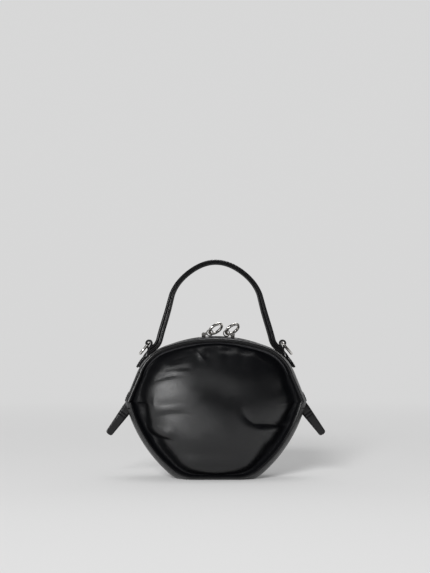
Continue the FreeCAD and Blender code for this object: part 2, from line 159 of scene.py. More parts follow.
class Finishes(bpy.types.PropertyGroup):
    """Colours and gloss."""

    panel_colour: colour((0.0014, 0.0015, 0.002), "Soft grained leather")
    trim_colour: colour((0.004, 0.004, 0.0044), "Smooth leather of strap and tabs")
    thread_colour: colour((0.006, 0.006, 0.0066), "Waxed thread")
    cloth_colour: colour((0.02, 0.02, 0.022), "Zip tape and lining")
    metal_colour: colour((0.78, 0.76, 0.73), "Plated hardware")
    board_colour: colour((0.09, 0.085, 0.08), "Stiffener in the base")
    grain: length(0.0011, "Size of the leather's grain")
    panel_roughness: share(0.35, "Gloss of the soft leather")
    trim_roughness: share(0.3, "Gloss of the smooth leather")


class StageSizes(bpy.types.PropertyGroup):
    """Camera, floor and light."""

    distance: length(2.0, "From the camera to the bag's middle")
    frame_height: length(0.573, "Height of the picture at the bag's middle")
    camera_x: length(-0.0008, "Across the bag")
    camera_z: length(0.191, "Above the floor")
    backdrop: colour((0.68, 0.68, 0.68), "Floor and wall")


def settings(name):
    """One of the scene's groups of sizes."""
    return getattr(bpy.context.scene, "bag_" + name)


# Paths and grids


def walk(start, segments, along):
    """Places at given lengths on a path of lines and tangent arcs: x, z and heading.

    A segment is its length and its curvature, positive to the right. Over a length s the chord is
    s sin(ks / 2) / (ks / 2) long, at the mean heading, which holds for lines too.
    """
    lengths, bends = np.array(segments).T
    turns = lengths * bends
    heads = start[2] + np.cumsum(turns) - turns
    chords = lengths * np.sinc(turns / 2 / np.pi)
    steps_x = chords * np.cos(heads + turns / 2)
    steps_z = chords * np.sin(heads + turns / 2)
    ends = np.cumsum(lengths)
    which = np.clip(np.searchsorted(ends, along), 0, len(lengths) - 1)
    past = along - (ends - lengths)[which]
    bend = bends[which] * past
    chord = past * np.sinc(bend / 2 / np.pi)
    x = start[0] + (np.cumsum(steps_x) - steps_x)[which] + chord * np.cos(heads[which] + bend / 2)
    z = start[1] - (np.cumsum(steps_z) - steps_z)[which] - chord * np.sin(heads[which] + bend / 2)
    return x, z, heads[which] + bend


def run(size):
    """A straight segment."""
    return size, 0.0


def turn(radius, sweep):
    """An arc, to the right where the sweep is positive."""
    return radius * abs(sweep), math.copysign(1 / radius, sweep)


def total(segments):
    return sum(segment[0] for segment in segments)


def unit(vectors):
    return vectors / np.maximum(np.linalg.norm(vectors, axis=-1, keepdims=True), 1e-12)


def stack(x, y, z):
    """One array of points from three arrays or numbers."""
    return np.stack(np.broadcast_arrays(x, y, z), axis=-1).astype(float)


def square_out(heading):
    """The direction square to a path in the front view, out of the bag."""
    return stack(np.sin(heading), 0.0, np.cos(heading))


def backwards(count):
    """The direction from front to back, once for each point of a path."""
    return stack(np.zeros(count), 1.0, 0.0)


def smooth(value):
    """0 below 0, 1 above 1, and a smooth step between."""
    held = np.clip(value, 0.0, 1.0)
    return held * held * (3 - 2 * held)


def grid_normals(grid, wrap_rows=False):
    """Unit normals of a grid of points: rows crossed with columns, from central differences."""
    if wrap_rows:
        by_row = np.roll(grid, -1, axis=0) - np.roll(grid, 1, axis=0)
    else:
        by_row = np.gradient(grid, axis=0)
    return unit(np.cross(by_row, np.gradient(grid, axis=1)))


def quads(rows, columns, wrap_rows=False, wrap_columns=False):
    """Corner numbers of the faces of a grid of points, closed where it wraps."""
    row = np.arange(rows if wrap_rows else rows - 1)[:, None]
    column = np.arange(columns if wrap_columns else columns - 1)[None, :]
    next_row, next_column = (row + 1) % rows, (column + 1) % columns
    corners = [row * columns + column, next_row * columns + column,
               next_row * columns + next_column, row * columns + next_column]
    return np.stack(np.broadcast_arrays(*corners), axis=-1).reshape(-1, 4)


def fan(ring, hub):
    """Triangles from a closed ring of corner numbers to one more corner."""
    return np.stack([ring, np.roll(ring, -1), np.full_like(ring, hub)], axis=-1)


def dome_faces(rows, columns, flip):
    """Faces of a closed grid whose last column meets in one more point, turned over where asked."""
    faces = [quads(rows, columns, True), fan(np.arange(rows) * columns + columns - 1, rows * columns)]
    return [group[:, ::-1] for group in faces] if flip else faces


def lengths_along(path):
    """How far along a path each of its points is."""
    return np.concatenate([[0.0], np.cumsum(np.linalg.norm(np.diff(path, axis=0), axis=1))])


def resampled(values, along, places):
    """Values per point of a path, read at other places along it."""
    return np.stack([np.interp(places, along, column) for column in values.T], axis=-1)


def add_object(name, points, faces, material):
    """A smooth mesh object from points and lists of faces."""
    mesh = bpy.data.meshes.new(name)
    corners = [face for group in faces for face in group.tolist()]
    mesh.from_pydata(np.asarray(points).reshape(-1, 3).tolist(), [], corners)
    mesh.polygons.foreach_set("use_smooth", np.ones(len(mesh.polygons), bool))
    mesh.update()
    mesh.materials.append(material)
    made = bpy.data.objects.new(name, mesh)
    bpy.context.scene.collection.objects.link(made)
    return made


def add_piece(name, points, faces, body, slot, material, nodes=(), marks=None):
    """A mesh object, set on its body when that is a name, else left as it is. Marks are values per point."""
    piece = add_object(name, points, faces, material)
    for mark, values in (marks or {}).items():
        layer = piece.data.attributes.new(mark, "FLOAT", "POINT")
        layer.data.foreach_set("value", np.asarray(values, np.float32).ravel())
    if isinstance(body, str):
        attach(piece, body)
    else:
        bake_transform(piece)
    if nodes:
        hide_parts(*nodes)
    return piece


def dress(node, finish):
    """Gives a packed piece its material."""
    held = frame["nodes"][node].data.materials
    held.clear()
    held.append(finish)


def joint_place(name):
    """Where one of the frame's joints is."""
    return np.array(next(joint["pos_m"] for joint in frame["joints"] if joint["name"] == name))


def wall(piece, thickness):
    """Gives a surface its thickness, inwards."""
    solid = piece.modifiers.new("Wall", "SOLIDIFY")
    solid.thickness = thickness
    solid.offset = -1.0


def tube(path, radius, sides, lean=(0.0, 1.0, 0.0)):
    """Points and faces of a round tube along a closed path.

    At each point the ring is centre + radius (cos a n + sin a b), with n and b square to the path and b
    as near to the lean direction as it can be.
    """
    tangent = unit(np.roll(path, -1, axis=0) - np.roll(path, 1, axis=0))
    lean = np.array(lean)
    side = unit(lean - tangent * (tangent @ lean)[:, None])
    out = np.cross(side, tangent)
    turns = np.linspace(0, 2 * np.pi, sides, endpoint=False)
    ring = np.cos(turns)[None, :, None] * out[:, None] + np.sin(turns)[None, :, None] * side[:, None]
    points = path[:, None] + radius * ring
    return points.reshape(-1, 3), [quads(len(path), sides, True, True)[:, ::-1]]


def strap_profile(notch):
    """The closed section of a flat strap: unit half width across, unit half thickness through.

    Two faces, two edges and rounded corners. The edges are drawn in by the notch times
    cos(pi v / 1.2)^0.8 for |v| under 0.6, where the core lies back between the two leathers.
    """
    turns = np.linspace(0, np.pi / 2, 6)
    face = np.linspace(-1, 1, 25)[1:-1]
    edge = np.linspace(1, -1, 31)[1:-1]
    layers = np.cos(0.5 * np.pi * np.clip(edge / 0.6, -1, 1)) ** 0.8
    across = [face, np.sin(turns), 1 - notch * layers]
    through = [np.ones_like(face), np.cos(turns), edge]
    inset = [np.zeros_like(face), np.ones_like(turns), np.zeros_like(edge)]
    half = np.stack([np.concatenate(part) for part in (across, through, inset)], axis=-1)
    return np.concatenate([half, half * [-1, -1, 1]])


# Width of a groove for stitches, as a share of the strap's half width
groove_spread = 0.045


def band(centre, across, through, half_width, half_thickness, round_off, notch=0.0, groove=0.0,
         groove_place=0.8):
    """Points and faces of a strap along a path, with rounded corners and closed ends.

    A section point is centre + across u + through v, where the faces keep to v = half thickness and the
    edges to u = half width, less the corner's rounding. A groove sinks the faces by
    groove exp(-((|u| / half width - place) / spread)^2).
    """
    section = strap_profile(notch)
    width = np.broadcast_to(half_width, len(centre))[:, None]
    depth = np.broadcast_to(half_thickness, len(centre))[:, None]
    corner = np.minimum(np.minimum(width, depth), round_off)
    u_share, v_share, is_corner = section.T
    flat = (1 - is_corner) * (np.abs(v_share) > 0.999)
    u = np.where(is_corner > 0, np.sign(u_share) * (width - corner) + corner * u_share,
                 np.where(flat > 0, u_share * (width - corner), u_share * width))
    u = np.where((is_corner > 0) & (u_share == 0), (width - corner) * np.sign(v_share), u)
    v = np.where(is_corner > 0, np.sign(v_share) * (depth - corner) + corner * v_share,
                 np.where(flat > 0, v_share * depth, v_share * (depth - corner)))
    sunk = groove * np.exp(-((np.abs(u) / width - groove_place) / groove_spread) ** 2)
    v = v - np.sign(v_share) * flat * sunk
    points = centre[:, None] + across[:, None] * u[..., None] + through[:, None] * v[..., None]
    count = len(section)
    faces = [quads(len(centre), count, False, True)]
    points = points.reshape(-1, 3)
    last = len(points)
    points = np.vstack([points, centre[:1], centre[-1:]])
    faces.append(fan(np.arange(count), last)[:, ::-1])
    faces.append(fan(np.arange(last - count, last), last + 1))
    return points, faces


def stitches(path, out, pitch, size, width, sink=0.5):
    """Points and faces of a row of sewn stitches along a path.

    Each stitch is a stretched ball, size long and width wide, set every pitch and sunk by a share of its
    width. Out is the surface's direction at each point.
    """
    along = lengths_along(path)
    places = np.arange(pitch / 2, along[-1], pitch)
    centre, up = resampled(path, along, places), unit(resampled(out, along, places))
    ahead = unit(resampled(np.gradient(path, axis=0), along, places))
    beside = np.cross(up, ahead)
    rings, sides = np.linspace(0.35, np.pi - 0.35, 5), np.linspace(0, 2 * np.pi, 7, endpoint=False)
    ball = stack(np.cos(rings)[:, None], np.sin(rings)[:, None] * np.cos(sides),
                 np.sin(rings)[:, None] * np.sin(sides)).reshape(-1, 3)
    tip = len(ball)
    ball = np.vstack([ball, [[1, 0, 0], [-1, 0, 0]]]) * [size / 2, width / 2, width / 2]
    points = (centre - up * width * (sink - 0.5))[:, None] + ball[None, :, :1] * ahead[:, None]
    points = points + ball[None, :, 1:2] * beside[:, None] + ball[None, :, 2:] * up[:, None]
    first = np.arange(len(centre))[:, None, None] * len(ball)
    groups = (quads(len(rings), len(sides), False, True), fan(np.arange(len(sides)), tip),
              fan(np.arange(tip - len(sides), tip), tip + 1)[:, ::-1])
    return points.reshape(-1, 3), [(first + group).reshape(-1, group.shape[1]) for group in groups]


def merge(parts):
    """Several points-and-faces pairs as one."""
    points, faces, first = [], [], 0
    for part_points, part_faces in parts:
        points.append(part_points)
        faces += [group + first for group in part_faces]
        first += len(part_points)
    return np.vstack(points), faces


def mirrored(part):
    """The same piece on the other side of the bag."""
    points, faces = part
    return points * [-1, 1, 1], [group[:, ::-1] for group in faces]


# The body's surface

# The two faces and their directions along Y
bag_sides = (("front", -1), ("back", 1))

# Least heights of the strip and of the faces above the floor
strip_clearance = 0.0002
face_clearance = 0.0004

# How far beyond crown and base the arc of the seams ends
seam_overrun = 0.005


def outline_segments():
    """The right half of the outline, from the top round to the base, and half of the base line."""
    b = settings("body")
    drop = b.crown_radius * (1 - math.cos(b.crown_angle))
    drop += b.shoulder_radius * (math.cos(b.crown_angle) - math.cos(b.side_angle))
    drop += b.waist_radius * (math.cos(b.side_angle) - math.cos(b.lower_angle))
    drop += b.lower_radius * (math.cos(b.lower_angle) - math.cos(b.corner_angle))
    drop += b.corner_radius * (math.cos(b.corner_angle) + 1)
    side = (b.height - drop) / math.sin(b.side_angle)
    half = [
        turn(b.crown_radius, b.crown_angle),
        turn(b.shoulder_radius, b.side_angle - b.crown_angle),
        run(side),
        turn(b.waist_radius, b.lower_angle - b.side_angle),
        turn(b.lower_radius, b.corner_angle - b.lower_angle),
        turn(b.corner_radius, math.pi - b.corner_angle),
    ]
    base_x = walk((0.0, b.height, 0.0), half, np.array([total(half)]))[0][0]
    return half, base_x


def outline(count):
    """Evenly spaced places round the whole outline, clockwise from the top: x, z and heading."""
    half, base_x = outline_segments()
    whole = half + [run(2 * base_x)] + half[::-1]
    along = np.linspace(0, total(whole), count, endpoint=False)
    return walk((0.0, settings("body").height, 0.0), whole, along)


def seam_width(z):
    """Half width of the side strip at a height: an arc that is narrowest at the waist."""
    b = settings("body")
    rise, half = b.seam_crown - b.seam_waist, b.height / 2 + seam_overrun
    radius = (half ** 2 + rise ** 2) / (2 * rise)
    away = np.clip(z - b.height / 2, -half, half)
    return b.seam_waist + radius - np.sqrt(radius ** 2 - away ** 2)


# How much of the rim's fall each side has: base, lower side, upper side, crown
rim_fall_shares = [0.5, 1.0, 1.0, -0.35]


def strip_points(x, z, heading, across):
    """Points of the side strip: across runs from -1 at the front seam to 1 at the back seam.

    The outline shrinks with depth as a rounded square does, (1 - |y / depth|^3)^(1/3), rounds over
    towards the seams by the rim's fall times across^4, and is pressed flat on the floor.
    """
    b = settings("body")
    y = across * seam_width(z)
    size = (1 - np.abs(y / b.half_depth) ** 3) ** (1 / 3)
    low = b.puff_height - (b.puff_height + b.base_sink) * size
    high = b.puff_height + (b.height - b.puff_height) * size
    share = np.interp(np.abs(np.cos(heading / 2)), [0.0, 0.5, 0.75, 1.0], rim_fall_shares)
    fall = b.rim_fall * share * across ** 4
    point_x = x * size - fall * np.sin(heading)
    point_z = low + z * (high - low) / b.height - fall * np.cos(heading)
    return stack(point_x, y, np.maximum(point_z, strip_clearance))


class Fold:
    """A crease on a face: a bent route in the front view, with a dip along it and a roll on one side.

    The route is a quadratic curve through its ends, drawn to its middle point. Width is the dip's, roll
    is the height of the roll, which lies a reach away on the right of the route's direction.
    """

    def __init__(self, start, middle, end, dip, width, roll=0.0, reach=6.0, ends=0.3):
        self.route = 0.001 * np.array([start, middle, end])
        self.dip, self.width, self.roll, self.reach = (0.001 * size for size in (dip, width, roll, reach))
        self.ends = ends

    def height(self, x, z):
        """Minus dip exp((f - sqrt(d^2 + f^2)) / width), plus the roll, faded at the route's ends.

        d is the distance from the route, and f, a share of the width, rounds the dip's foot.
        """
        t = np.linspace(0, 1, 60)[:, None]
        a, b, c = self.route
        curve = (1 - t) ** 2 * a + 2 * t * (1 - t) * b + t ** 2 * c
        ahead = 2 * (1 - t) * (b - a) + 2 * t * (c - b)
        speed = np.linalg.norm(ahead, axis=1)
        ahead = ahead / speed[:, None]
        place = np.stack([x.ravel(), z.ravel()], axis=-1)
        offset = place[:, None] - curve[None]
        nearest = np.argmin((offset ** 2).sum(-1), axis=1)
        off = offset[np.arange(len(place)), nearest]
        direction = ahead[nearest]
        left = direction[:, 0] * off[:, 1] - direction[:, 1] * off[:, 0]
        past = (off * direction).sum(-1)
        at = t[nearest, 0] + past / speed[nearest]
        fade = smooth(at / self.ends) * smooth((1 - at) / self.ends)
        step = 0.02 * speed[nearest]
        beyond = np.maximum(np.abs(past) - step, 0.0)
        fade = fade * np.exp(-(beyond / self.width) ** 2)
        foot = 0.35 * self.width
        dip = -self.dip * np.exp((foot - np.sqrt(left ** 2 + foot ** 2)) / self.width)
        roll = self.roll * np.exp(-((left + self.reach) / self.reach) ** 2)
        return ((dip + roll) * fade).reshape(x.shape)


# Places and sizes of the folds are in millimetres in the front view
front_folds = [
    Fold((-54, 108), (-40, 111.5), (-22, 111), 0.5, 3.0, 0.5, 3.0),
    Fold((-66, 95), (-52, 102.5), (-32, 106), 0.6, 3.4, 0.5, 4.0),
    Fold((-61, 102), (-50, 106.5), (-38, 107.5), 0.3, 2.4),
    Fold((-74, 86), (-72, 70), (-67, 55), 3.0, 3.0, 0.0, 4.0, 0.45),
    Fold((-61, 90), (-60, 77), (-62, 64), -0.8, 3.2, 0.0, 4.0, 0.45),
    Fold((-14, 65), (-50, 70.5), (-70, 57), 1.0, 5.0, 1.3, 7.0, 0.45),
    Fold((-36, 40), (-62, 37), (-75, 53), 2.8, 3.2, 2.2, 6.0),
    Fold((26, 76), (27, 55), (50, 55), 2.0, 3.4, 0.8, 6.0, 0.45),
    Fold((35, 56.5), (55, 56), (78, 52), 2.8, 2.8, 2.4, 5.5),
    Fold((42, 47), (58, 45), (76, 50), 1.3, 3.4, 0.0, 4.0, 0.4),
    Fold((82, 79), (74, 69), (69, 54), 2.4, 2.8, 1.2, 4.0, 0.4),
    Fold((-21, 133), (-17.5, 127), (-9, 116), -1.4, 2.6, 0.0, 4.0, 0.45),
    Fold((-54, 114), (-34, 121), (-19, 125), 1.1, 3.4, 0.9, 5.0, 0.4),
    Fold((-12, 132), (-8, 127), (-2, 121), 0.9, 3.2, 0.0, 4.0, 0.45),
    Fold((-4, 128.5), (10, 127), (24, 129.5), 0.7, 3.0, 0.6, 4.0, 0.45),
    Fold((16, 131), (29, 125.5), (42, 127), 1.3, 3.2, 0.8, 4.0, 0.4),
    Fold((37, 127), (48, 122), (58, 113), 1.3, 3.2, 0.8, 4.0, 0.4),
    Fold((-42, 28), (0, 24), (52, 30), 0.9, 6.0, 1.0, 8.0),
    Fold((56, 27), (47, 37), (41, 49), 1.0, 5.0, 0.8, 6.0),
]
back_folds = [
    Fold((14, 54), (48, 51), (75, 63), 2.6, 3.4, 2.2, 6.0, 0.4),
    Fold((-18, 58), (-54, 52), (-77, 66), 2.6, 3.4, 2.0, 6.0, 0.4),
    Fold((-4, 109), (-30, 104), (-58, 111), 1.5, 4.0, 1.0, 6.0, 0.45),
    Fold((64, 97), (44, 105), (18, 104), 1.5, 4.0, 1.0, 6.0, 0.45),
    Fold((7, 133), (12, 124), (22, 112), 1.2, 3.6, 0.8, 4.0, 0.45),
    Fold((-18, 133), (-23, 125), (-35, 115), 1.2, 3.6, 0.8, 4.0, 0.45),
    Fold((-64, 42), (-50, 34), (-28, 36), 1.6, 3.6, 1.2, 6.0, 0.45),
    Fold((32, 38), (53, 34), (66, 45), 1.6, 3.6, 1.2, 6.0, 0.45),
    Fold((-38, 30), (0, 24), (42, 30), 1.0, 6.0, 1.0, 8.0),
]


def waves(x, z, seed, wave, count=7):
    """Slack waves: a sum of plane waves in random directions, about one high."""
    pick = np.random.default_rng(seed)
    heights = np.zeros_like(x)
    for _ in range(count):
        heading, phase = pick.uniform(0, 2 * np.pi, 2)
        size = wave * pick.uniform(0.6, 1.6)
        heights += np.sin(2 * np.pi * (x * math.cos(heading) + z * math.sin(heading)) / size + phase)
    return heights / math.sqrt(count)


def round_waves(turns, seed, low, high, count=6):
    """Waves round a closed loop: whole numbers of cycles from low to high, about one high."""
    pick = np.random.default_rng(seed)
    cycles = pick.integers(low, high, count)[:, None]
    phases = pick.uniform(0, 2 * np.pi, count)[:, None]
    return np.sin(cycles * turns[None] + phases).sum(0) / math.sqrt(count)


# Share of the radius that the dark valley behind the piping takes: top, shoulder, side, lower corner, base
valley_width_shares = [0.05, 0.085, 0.145, 0.15, 0.035]

# How strong the gathers are at the same places
gather_shares = [0.5, 0.55, 0.6, 0.15, 0.0]

# A face's rings: how they crowd towards the seam, and how far their middle is below the puff height
ring_crowding = 1.1
hub_drop = 0.004

# A face's swell: its power, and how softly it starts
swell_power = 2.15
swell_start = 0.035

# Where the folds begin, from the seam in, and the length of the slack waves
fold_margin = 0.002
slack_wave = 0.04

# Painted shade beside a face's seam, standing in for the shadow that the piping and rim cast, low on the face
# and high on it: heights, depths from the middle and lengths over which it fades
painted_shade_share = 0.85
shade_height, shade_height_fade = 0.085, 0.03
shade_depth, shade_depth_more = 0.0285, 0.0125
shade_fade, shade_fade_more = 0.006, 0.007

# A height above the puffed form that counts as a whole fold in the leather's shading
whole_fold = 0.003


def softened(loop, reach):
    """A closed loop of values, averaged over a bell-shaped window."""
    window = np.hanning(2 * reach + 1)
    padded = np.concatenate([loop[-reach:], loop, loop[:reach]])
    return np.convolve(padded, window / window.sum(), "valid")


def face_points(side, folds, seed, rounds=400, rings=110):
    """Points of a puffed face, ring by ring from the seam to the middle, and how far each is raised.

    In the front view each ring is the seam drawn towards the middle, its corners rounded off. In depth
    the face dips behind the piping, then swells as (1 - u^p)^(1/p), with a low belly. Folds, gathers and
    slack waves move it along its normal.
    """
    b, puff = settings("body"), settings("puff")
    x, z, heading = outline(rounds)
    seam = strip_points(x, z, heading, side * np.ones(rounds))
    centre_z = b.puff_height - hub_drop
    bearing = np.arctan2(np.abs(seam[:, 0]), seam[:, 2] - centre_z)
    valley_width = np.interp(bearing, np.linspace(0, np.pi, 5), valley_width_shares)
    valley_width = softened(valley_width, rounds // 20)
    r = (np.linspace(0, 1, rings) ** ring_crowding)[None, :-1]
    start = valley_width[:, None]
    rise = (r - start) / (1 - start)
    rise = (rise + np.sqrt(rise ** 2 + swell_start ** 2)) / 2
    rise = rise / ((1 + math.sqrt(1 + swell_start ** 2)) / 2)
    swell = (1 - np.clip(1 - rise, 0, 1) ** swell_power) ** (1 / swell_power)
    first = swell[:, :1]
    swell = (swell - first) / (1 - first)
    soft_x, soft_z = (softened(seam[:, axis], rounds // 12)[:, None] for axis in (0, 2))
    round_off = smooth(r / 0.3)
    place_x = (seam[:, None, 0] + (soft_x - seam[:, None, 0]) * round_off) * (1 - r)
    place_z = seam[:, None, 2] + (soft_z - seam[:, None, 2]) * round_off
    place_z = centre_z + (place_z - centre_z) * (1 - r)
    full = puff.depth + puff.belly * np.exp(-((place_z - puff.belly_height) / puff.belly_spread) ** 2)
    edge = np.abs(seam[:, 1])
    edge = softened(edge, rounds // 40)[:, None] * round_off + edge[:, None] * (1 - round_off)
    valley = puff.valley * np.exp(-((r - 0.5 * start) / (0.45 * start)) ** 2)
    depth = edge + (full - edge) * swell - valley * smooth(r / (0.3 * start))
    grid = stack(place_x, side * depth, place_z)
    normals = grid_normals(grid, wrap_rows=True)
    normals = normals * np.sign(normals[:, :, 1].mean() * side)
    radius = np.linalg.norm(np.stack([seam[:, 0], seam[:, 2] - centre_z], axis=-1), axis=-1)[:, None]
    from_seam = r * radius
    turns = np.linspace(0, 2 * np.pi, rounds, endpoint=False)
    gathers = round_waves(turns, seed, 12, 34)[:, None] * puff.gather
    gathers = gathers * np.interp(bearing, np.linspace(0, np.pi, 5), gather_shares)[:, None]
    gathers = gathers * smooth((from_seam - fold_margin) / 0.006)
    gathers = gathers * np.exp(-(from_seam / puff.gather_reach) ** 2)
    slack = puff.ripple * waves(place_x, place_z, seed + 1, slack_wave) * smooth(from_seam / 0.02)
    raised = sum(fold.height(place_x, place_z) for fold in folds)
    raised = raised * smooth((from_seam - fold_margin) / 0.008) + gathers + slack
    grid = grid + normals * raised[..., None]
    grid[..., 2] = np.maximum(grid[..., 2], face_clearance)
    hub = stack(0.0, side * np.abs(grid[:, -1, 1]).mean(), centre_z)[None]
    return grid, hub, raised


def face_piece(name, side, folds, seed, nodes):
    """A puffed face as a piece, marked where it is folded and where the painted shade beside its seam lies.
    """
    grid, hub, raised = face_points(side, folds, seed)
    points = np.vstack([grid.reshape(-1, 3), hub])
    # The seam mark is painted shade: a share of a dull shader that darkens the face near the piping, where
    # the rim's shadow falls
    high = smooth((points[:, 2] - shade_height) / shade_height_fade)
    shaded = shade_depth + shade_depth_more * high - np.abs(points[:, 1])
    seam = painted_shade_share * smooth(shaded / (shade_fade + shade_fade_more * high))
    marks = {"fold": np.append(raised.ravel(), 0.0) / whole_fold, "seam": seam}
    piece = add_piece(name, points, dome_faces(*grid.shape[:2], side < 0), "shell", "panel_leather",
                      soft_leather(), nodes, marks)
    wall(piece, settings("body").leather)


# Shaders


class Socket:
    """A shader value that takes part in Python sums: each operator adds a Math node."""

    def __init__(self, tree, socket):
        self.tree, self.socket = tree, socket

    def math(self, operation, *values):
        node = self.tree.nodes.new("ShaderNodeMath")
        node.operation = operation
        for spot, value in zip(node.inputs, values):
            if isinstance(value, Socket):
                self.tree.links.new(value.socket, spot)
            else:
                spot.default_value = value
        return Socket(self.tree, node.outputs[0])

    def __add__(self, other):
        return self.math("ADD", self, other)

    def __radd__(self, other):
        return self.math("ADD", other, self)

    def __sub__(self, other):
        return self.math("SUBTRACT", self, other)

    def __rsub__(self, other):
        return self.math("SUBTRACT", other, self)

    def __mul__(self, other):
        return self.math("MULTIPLY", self, other)

    def __truediv__(self, other):
        return self.math("DIVIDE", self, other)


class Shader:
    """A new material's or world's node tree, with one way to add any node."""

    def __init__(self, owner):
        owner.use_nodes = True
        self.tree = owner.node_tree
        self.tree.nodes.clear()

    def node(self, kind, options=None, values=None, output=0):
        """Adds a node: first its options, a ramp's stops among them, then its sockets' values or links."""
        node = self.tree.nodes.new(kind)
        for option, value in (options or {}).items():
            if option == "stops":
                ramp = node.color_ramp.elements
                while len(ramp) < len(value):
                    ramp.new(0.5)
                for stop, (place, tone) in zip(ramp, value):
                    stop.position, stop.color = place, (tone, tone, tone, 1.0)
            else:
                setattr(node, option, value)
        for spot, value in (values or {}).items():
            if isinstance(value, Socket):
                self.tree.links.new(value.socket, node.inputs[spot])
            else:
                node.inputs[spot].default_value = value
        return Socket(self.tree, node.outputs[output]) if node.outputs else None

    def places(self):
        """Object coordinates."""
        return self.node("ShaderNodeTexCoord", output="Object")

    def held(self, value):
        """A value held between 0 and 1."""
        return self.node("ShaderNodeClamp", None, {"Value": value})

    def mark(self, name):
        """A value that a piece carries at each point, 0 where it has none."""
        return self.node("ShaderNodeAttribute", {"attribute_name": name}, None, "Fac")

    def noise(self, vector, scale, detail, roughness=0.55):
        return self.node("ShaderNodeTexNoise", None,
                         {"Vector": vector, "Scale": scale, "Detail": detail, "Roughness": roughness}, "Fac")

    def ramp(self, value, stops):
        return self.node("ShaderNodeValToRGB", {"stops": stops}, {"Fac": value})

    def mix(self, factor, first, second):
        """One colour into another."""
        return self.node("ShaderNodeMix", {"data_type": "RGBA"},
                         {0: factor, 6: (*first, 1.0), 7: (*second, 1.0)}, 2)

    def bump(self, height, strength, distance):
        return self.node("ShaderNodeBump", None,
                         {"Height": height, "Strength": strength, "Distance": distance})

    def surface(self, values, shade=None, share=0.0):
        """The main shader, joined to the output, mixed with a share of a second one where there is one."""
        shader = self.node("ShaderNodeBsdfPrincipled", None, values)
        # A second shader, where one is given, is painted shade mixed in by the share
        if shade:
            painted_shade = self.node("ShaderNodeBsdfPrincipled", None, shade)
            shader = self.node("ShaderNodeMixShader", None, {0: share, 1: shader, 2: painted_shade})
        self.node("ShaderNodeOutputMaterial", None, {"Surface": shader})


def material(name, build):
    """A material by name, made once."""
    found = bpy.data.materials.get(name)
    if found is None:
        found = bpy.data.materials.new(name)
        build(Shader(found), settings("finish"))
    return found


def scaled(tone, factor):
    """A colour made lighter or darker."""
    return tuple(factor * part for part in tone)


def grained(shader, tone, roughness, grain, depth, gloss):
    """Leather: pebbled cells with fine pores, gloss that varies, and ridges worn a little lighter.

    Painted shade beside the seams: as far as the piece is marked, a dull shader without grain is mixed in.
    """
    places = shader.places()
    bend = shader.noise(places, 45.0, 2.0)
    cells = shader.node("ShaderNodeTexVoronoi", {"feature": "DISTANCE_TO_EDGE"},
                        {"Vector": places, "Scale": 1 / grain, "Randomness": 1.0}, "Distance")
    pores = shader.noise(places, 5 / grain, 2.0, 0.6)
    pebbles = shader.ramp(cells, [(0.0, 0.0), (0.16, 0.8), (0.5, 1.0)])
    height = pebbles * 0.75 + pores * 0.25
    worn = shader.held(shader.mark("fold") * 0.35 + bend * 0.4 - 0.2)
    light = tuple(2.1 * part + 0.001 for part in tone)
    # Painted shade: the same colour with little gloss and no grain, mixed in by the seam mark so that the
    # valleys read as shadowed
    painted_shade = {"Base Color": (*tone, 1.0), "Roughness": 0.8, "Specular IOR Level": 0.1}
    shader.surface({
        "Base Color": shader.mix(worn, tone, light),
        "Roughness": roughness - 0.05 + bend * 0.16 - pebbles * 0.05,
        "Specular IOR Level": gloss,
        "Normal": shader.bump(height, 0.35, depth),
    }, painted_shade, shader.mark("seam"))


def soft_leather():
    return material("soft_grained_leather", lambda shader, f: grained(
        shader, tuple(f.panel_colour), f.panel_roughness, f.grain, depth=0.00025, gloss=0.6))


def smooth_leather():
    return material("smooth_trim_leather", lambda shader, f: grained(
        shader, tuple(f.trim_colour), f.trim_roughness, 0.6 * f.grain, depth=0.000015, gloss=0.45))


def thread():
    """Waxed thread: a fine twist along each stitch."""
    def build(shader, f):
        twist = shader.node("ShaderNodeTexWave", {"wave_type": "BANDS", "bands_direction": "DIAGONAL"},
                            {"Vector": shader.places(), "Scale": 900.0, "Distortion": 1.5})
        tone = tuple(f.thread_colour)
        shader.surface({
            "Base Color": shader.mix(twist, tone, scaled(tone, 2.2)),
            "Roughness": 0.7 + twist * 0.1,
            "Specular IOR Level": 0.2,
            "Normal": shader.bump(twist, 0.4, 0.0001),
        })
    return material("waxed_thread", build)


def metal():
    """Plated metal: bright, with faint handling marks."""
    def build(shader, f):
        places = shader.places()
        marks = shader.noise(places, 700.0, 4.0, 0.65)
        haze = shader.noise(places, 90.0, 2.0)
        tone = tuple(f.metal_colour)
        shader.surface({
            "Base Color": shader.mix(haze, tone, scaled(tone, 0.82)),
            "Metallic": 1.0,
            "Roughness": 0.1 + haze * 0.1 + marks * 0.08,
            "Normal": shader.bump(marks, 0.06, 0.0001),
        })
    return material("plated_metal", build)


def woven(name, tone_name, pitch):
    """Cloth: threads that cross along the three axes, at the pitch given."""
    def build(shader, f):
        tone = tuple(getattr(f, tone_name))
        places = shader.places()
        by_x, by_y, by_z = (
            shader.node("ShaderNodeTexWave", {"wave_type": "BANDS", "bands_direction": axis},
                        {"Vector": places, "Scale": 0.32 / pitch, "Distortion": 0.6, "Detail": 1.0})
            for axis in "XYZ")
        weave = (by_x + by_y + by_z) / 3.0
        shader.surface({
            "Base Color": shader.mix(weave, scaled(tone, 0.6), scaled(tone, 1.5)),
            "Roughness": 0.86 - weave * 0.1,
            "Specular IOR Level": 0.2,
            "Normal": shader.bump(weave, 0.5, 0.0002),
        })
    return material(name, build)


def zip_cloth():
    return woven("zip_tape_cloth", "cloth_colour", 0.0006)


def lining_cloth():
    return woven("lining_twill", "cloth_colour", 0.0005)


def board():
    """Pressed board: flecked and matt."""
    def build(shader, f):
        flecks = shader.noise(shader.places(), 900.0, 4.0, 0.7)
        tone = tuple(f.board_colour)
        shader.surface({
            "Base Color": shader.mix(flecks, scaled(tone, 0.7), scaled(tone, 1.4)),
            "Roughness": 0.8 + flecks * 0.1,
            "Normal": shader.bump(flecks, 0.3, 0.0002),
        })
    return material("pressed_board", build)


# Pieces

